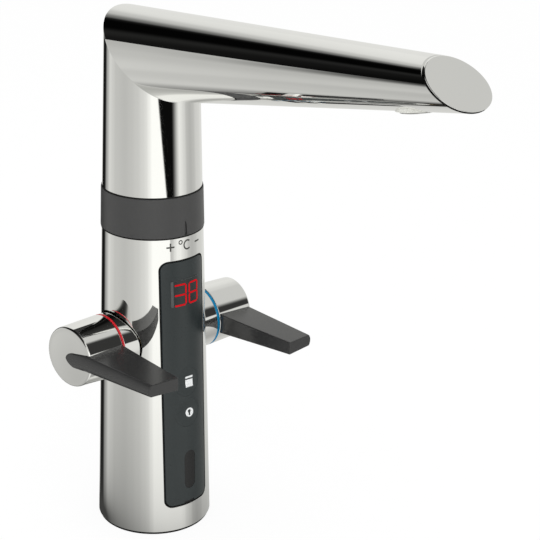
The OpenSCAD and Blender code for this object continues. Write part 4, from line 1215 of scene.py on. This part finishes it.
def make_world():
    """White to the camera and to reflections; softer as the light that falls on matt surfaces."""
    scene.view_settings.view_transform = "Standard"
    scene.world = bpy.data.worlds.new("studio")
    tree = bare_tree(scene.world)
    path = node(tree, "LightPath")
    seen = maths(tree, "MAXIMUM", path["Is Camera Ray"], path["Is Glossy Ray"])
    seen = maths(tree, "MAXIMUM", seen, path["Is Transmission Ray"])
    fill, white = (node(tree, "Background", {"Color": WHITE, "Strength": level})[0]
                   for level in (FILL_LEVEL, 1.0))
    node(tree, "OutputWorld", {"Surface": mix(tree, seen, fill, white)})


def area_light(name, where, size, power):
    data = bpy.data.lights.new(name, "AREA")
    data.shape, data.size, data.energy = "SQUARE", size, power
    lamp = add_object(name, data)
    lamp.location = where
    lamp.rotation_mode = "QUATERNION"
    lamp.rotation_quaternion = (CENTRE - Vector(where)).to_track_quat("-Z", "Y")
    lamp.visible_glossy = False


def contact_shade(tree):
    """How solid the shade near the foot is: it fades with the distance from it."""
    coord = node(tree, "TexCoord")["Object"]
    away = node(tree, "VectorMath", {0: coord, 1: tuple(SHADE_AT)}, operation="DISTANCE")["Value"]
    return maths(tree, "SUBTRACT", maths(tree, "DIVIDE", SHADE_FALL, away), SHADE_FAR, use_clamp=True)


def floor_material():
    """Pale floor with a soft shadow. Metal sees the studio past it, and a contact shade near the foot."""
    mat = bpy.data.materials.new("pale floor")
    tree = bare_tree(mat)
    path = node(tree, "LightPath")
    grain = spread(tree, noise(tree, node(tree, "TexCoord")["Object"], FLOOR_GRAIN, 3.0), 0, 1)
    matt = node(tree, "BsdfDiffuse", {"Color": tint(tree, grain, FLOOR_PALE, FLOOR_PALER)})[0]
    glow, shade = (node(tree, "Emission", {"Color": colour, "Strength": 1.0})[0]
                   for colour in (WHITE, SHADE))
    clear = node(tree, "BsdfTransparent")[0]
    plain = mix(tree, path["Is Camera Ray"], matt, mix(tree, FLOOR_GLOW, matt, glow))
    reflected = mix(tree, contact_shade(tree), clear, shade)
    node(tree, "OutputMaterial", {"Surface": mix(tree, path["Is Glossy Ray"], plain, reflected)})
    return mat


def grid_mesh(name, columns, rows, place):
    """A sheet of columns x rows cells; place(u, v) gives each point for u and v from 0 to 1."""
    verts = [place(i / columns, j / rows) for j in range(rows + 1) for i in range(columns + 1)]
    wide = columns + 1
    faces = [(j * wide + i, j * wide + i + 1, (j + 1) * wide + i + 1, (j + 1) * wide + i)
             for j in range(rows) for i in range(columns)]
    mesh = bpy.data.meshes.new(name)
    mesh.from_pydata(verts, [], faces)
    obj = add_object(name, mesh)
    obj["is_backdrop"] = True
    return obj


make_world()
area_light("key", where=(-0.6, 0.2, 1.6), size=1.2, power=3.5)
area_light("fill", where=(-0.5, -0.9, 1.1), size=0.7, power=5)
floor = grid_mesh("floor", FLOOR_CELLS, FLOOR_CELLS,
                  lambda u, v: ((2 * u - 1) * FLOOR_HALF, (2 * v - 1) * FLOOR_HALF, 0))
floor.data.materials.append(floor_material())


# Cards that polished metal sees: a pale tent with dark flags. Directions are in degrees round the tap, with
# azimuth 0 towards the camera and growing to its right. Levels are screen levels: 255 is white, and a little
# more is allowed. A ramp's stops give a direction and its level there, or the share of an effect.

TENT_R = 8.0
WARM = 0.965


def ramp(stops, x):
    """A smooth curve through (x, y) stops."""
    if x <= stops[0][0]:
        return stops[0][1]
    for (x0, y0), (x1, y1) in zip(stops, stops[1:]):
        if x <= x1:
            t = (x - x0) / (x1 - x0)
            return y0 + (y1 - y0) * t * t * (3 - 2 * t)
    return stops[-1][1]


def card_material(name):
    """Glows with the mesh's own colours, and lets light through where their alpha is low."""
    mat = bpy.data.materials.new(name)
    tree = bare_tree(mat)
    glow = node(tree, "Attribute", attribute_name="glow")
    emit = node(tree, "Emission", {"Color": glow["Color"]})[0]
    clear = node(tree, "BsdfTransparent")[0]
    node(tree, "OutputMaterial", {"Surface": mix(tree, glow["Alpha"], clear, emit)})
    return mat


def card(name, az, el, look, near, steps):
    """A patch of sphere, seen by reflections only; look(az, el) gives its level and how solid it is."""
    seen = []

    def place(u, v):
        seen.append([low + (high - low) * t for (low, high), t in ((az, u), (el, v))])
        a, e = map(math.radians, seen[-1])
        flat = RIGHT * math.sin(a) - HEADING * math.cos(a)
        return CENTRE + (flat * math.cos(e) + Vector((0, 0, math.sin(e)))) * (TENT_R - near)

    obj = grid_mesh(name, *steps, place)
    glow = obj.data.color_attributes.new("glow", "FLOAT_COLOR", "POINT")
    for i, direction in enumerate(seen):
        level, solid = look(*direction)
        light = lin(level)
        glow.data[i].color = (light, light, light * WARM, solid)
    obj.data.materials.append(card_material(name))
    obj.visible_camera = obj.visible_diffuse = obj.visible_shadow = False
    obj.visible_transmission = obj.visible_volume_scatter = False


HORIZON = 20.3
WALL = [(-180, 228), (-158, 226), (-153, 30), (-136, 20), (-123, 168), (-109, 218), (-97, 208), (-87, 198),
        (-60, 192), (-45, 197), (-30, 205), (-16, 217), (-9, 226), (-2, 245), (5, 262), (24, 262),
        (60, 259), (68, 252), (76, 230), (84, 216), (93, 190), (103, 182), (114, 190), (127, 208),
        (143, 214), (155, 222), (180, 228)]
WALL_LOW = [(-90, 1.0), (-28, 0.95), (-18, 1.0)]
WALL_HIGH, WALL_HIGH_AZ = [(-15, 1.0), (6, 0.93), (20, 0.86)], [(-130, 0), (-118, 1), (-30, 1), (-14, 0)]
DUSK_AZ, DUSK_EL, DUSK = [(-98, 0), (-86, 1), (-36, 1), (-24, 0)], [(5, 0), (24, 1)], 0.85


def wall(az, el):
    """The tent up to the horizon: pale, with a dark gap at the back left, and dusk high up on the left."""
    dusk = 1 - DUSK * ramp(DUSK_AZ, az) * ramp(DUSK_EL, el)
    tired = 1 - (1 - ramp(WALL_HIGH, el)) * ramp(WALL_HIGH_AZ, az)
    return ramp(WALL, az) * ramp(WALL_LOW, el) * dusk * tired, 1.0


DOME_SIDE = [(-164, 0), (-154, 0.14), (-144, 0.52), (-139, 0.93), (-134, 1), (-60, 1), (-40, 0)]
DOME_EDGE = [(-180, 41), (-165, 47), (-129, 47), (-127, 10), (-27, 10), (10, 52), (45, 62), (130, 63),
             (145, 57), (160, 50), (175, 44), (180, 41)]
DOME_SOFT = [(-10, 1.5), (20, 5), (90, 5), (120, 1.5)]
DOME_LIGHT = [(-180, 232), (-155, 222), (-30, 190), (10, 215), (60, 203), (145, 203), (160, 215), (175, 228),
              (180, 232)]
DOME_DARK = [(-180, 45), (-135, 4), (-122, 4), (-113, 34), (-103, 20), (-92, 12), (-50, 40), (0, 50),
             (140, 65), (175, 58), (180, 50)]


def dome(az, el):
    """The tent above the horizon: light up to an edge, dark over it, and dark on its left from the start."""
    edge, soft = ramp(DOME_EDGE, az), ramp(DOME_SOFT, az)
    dark = max(ramp([(edge - soft, 0), (edge + soft, 1)], el), ramp(DOME_SIDE, az))
    return ramp(DOME_LIGHT, az) * (1 - dark) + ramp(DOME_DARK, az) * dark, 1.0


SIDE_LEVEL, SIDE_EDGE, SIDE_EDGE_EL, SIDE_LEAN, SIDE_IN, SIDE_OUT = 52, 86.5, 45, 2.74, 5, 6
SIDE_START, SIDE_SPAN = [(52, 0), (60, 1)], [(8, 0), (10, 1), (46, 1), (52, 0)]


def side_flag(az, el):
    """A dark screen whose right edge leans."""
    edge = SIDE_EDGE + (SIDE_EDGE_EL - el) / SIDE_LEAN
    solid = ramp(SIDE_START, az) * ramp([(edge - SIDE_IN, 1), (edge + SIDE_OUT, 0)], az)
    return SIDE_LEVEL, solid * ramp(SIDE_SPAN, el)


FRONT_LEVEL, WEDGE_AZ, WEDGE_EL, WEDGE_LEAN, WEDGE_SOFT = 12, 27.5, -13, 4.4, 1.5
WEDGE_DARK, STREAK_DARK_EL, UPPER_EL = [(51, 1.0), (75, 0.0)], [(-24, 0), (-20, 1)], [(-16.8, 0), (-16, 1)]
STREAK_DARK = [(42.5, 0), (45, 0.47), (49, 0.42), (55, 0.25), (62, 0.12), (70, 0.05), (76, 0)]


def front_flag(az, el):
    """The dark wedge on the turret above, and the dark streak on the column below."""
    edge = WEDGE_AZ - WEDGE_LEAN * (el - WEDGE_EL)
    upper = min(1.0, max(0.0, (az - edge) / WEDGE_SOFT)) * ramp(WEDGE_DARK, az)
    lower = ramp(STREAK_DARK, az) * ramp(STREAK_DARK_EL, el)
    share = ramp(UPPER_EL, el)
    return FRONT_LEVEL, upper * share + lower * (1 - share)


card("tent wall", az=(-180, 180), el=(-89, HORIZON), look=wall, near=0.0, steps=(180, 60))
card("tent dome", az=(-180, 180), el=(HORIZON, 89), look=dome, near=0.0, steps=(180, 90))
card("side flag", az=(50, 112), el=(7, 53), look=side_flag, near=0.1, steps=(62, 46))
card("front flag", az=(5, 76), el=(-25, 0), look=front_flag, near=0.2, steps=(142, 100))

sizes = {"start": start_size, "end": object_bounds()}
{when: [list(low), list(high)] for when, (low, high) in sizes.items()}
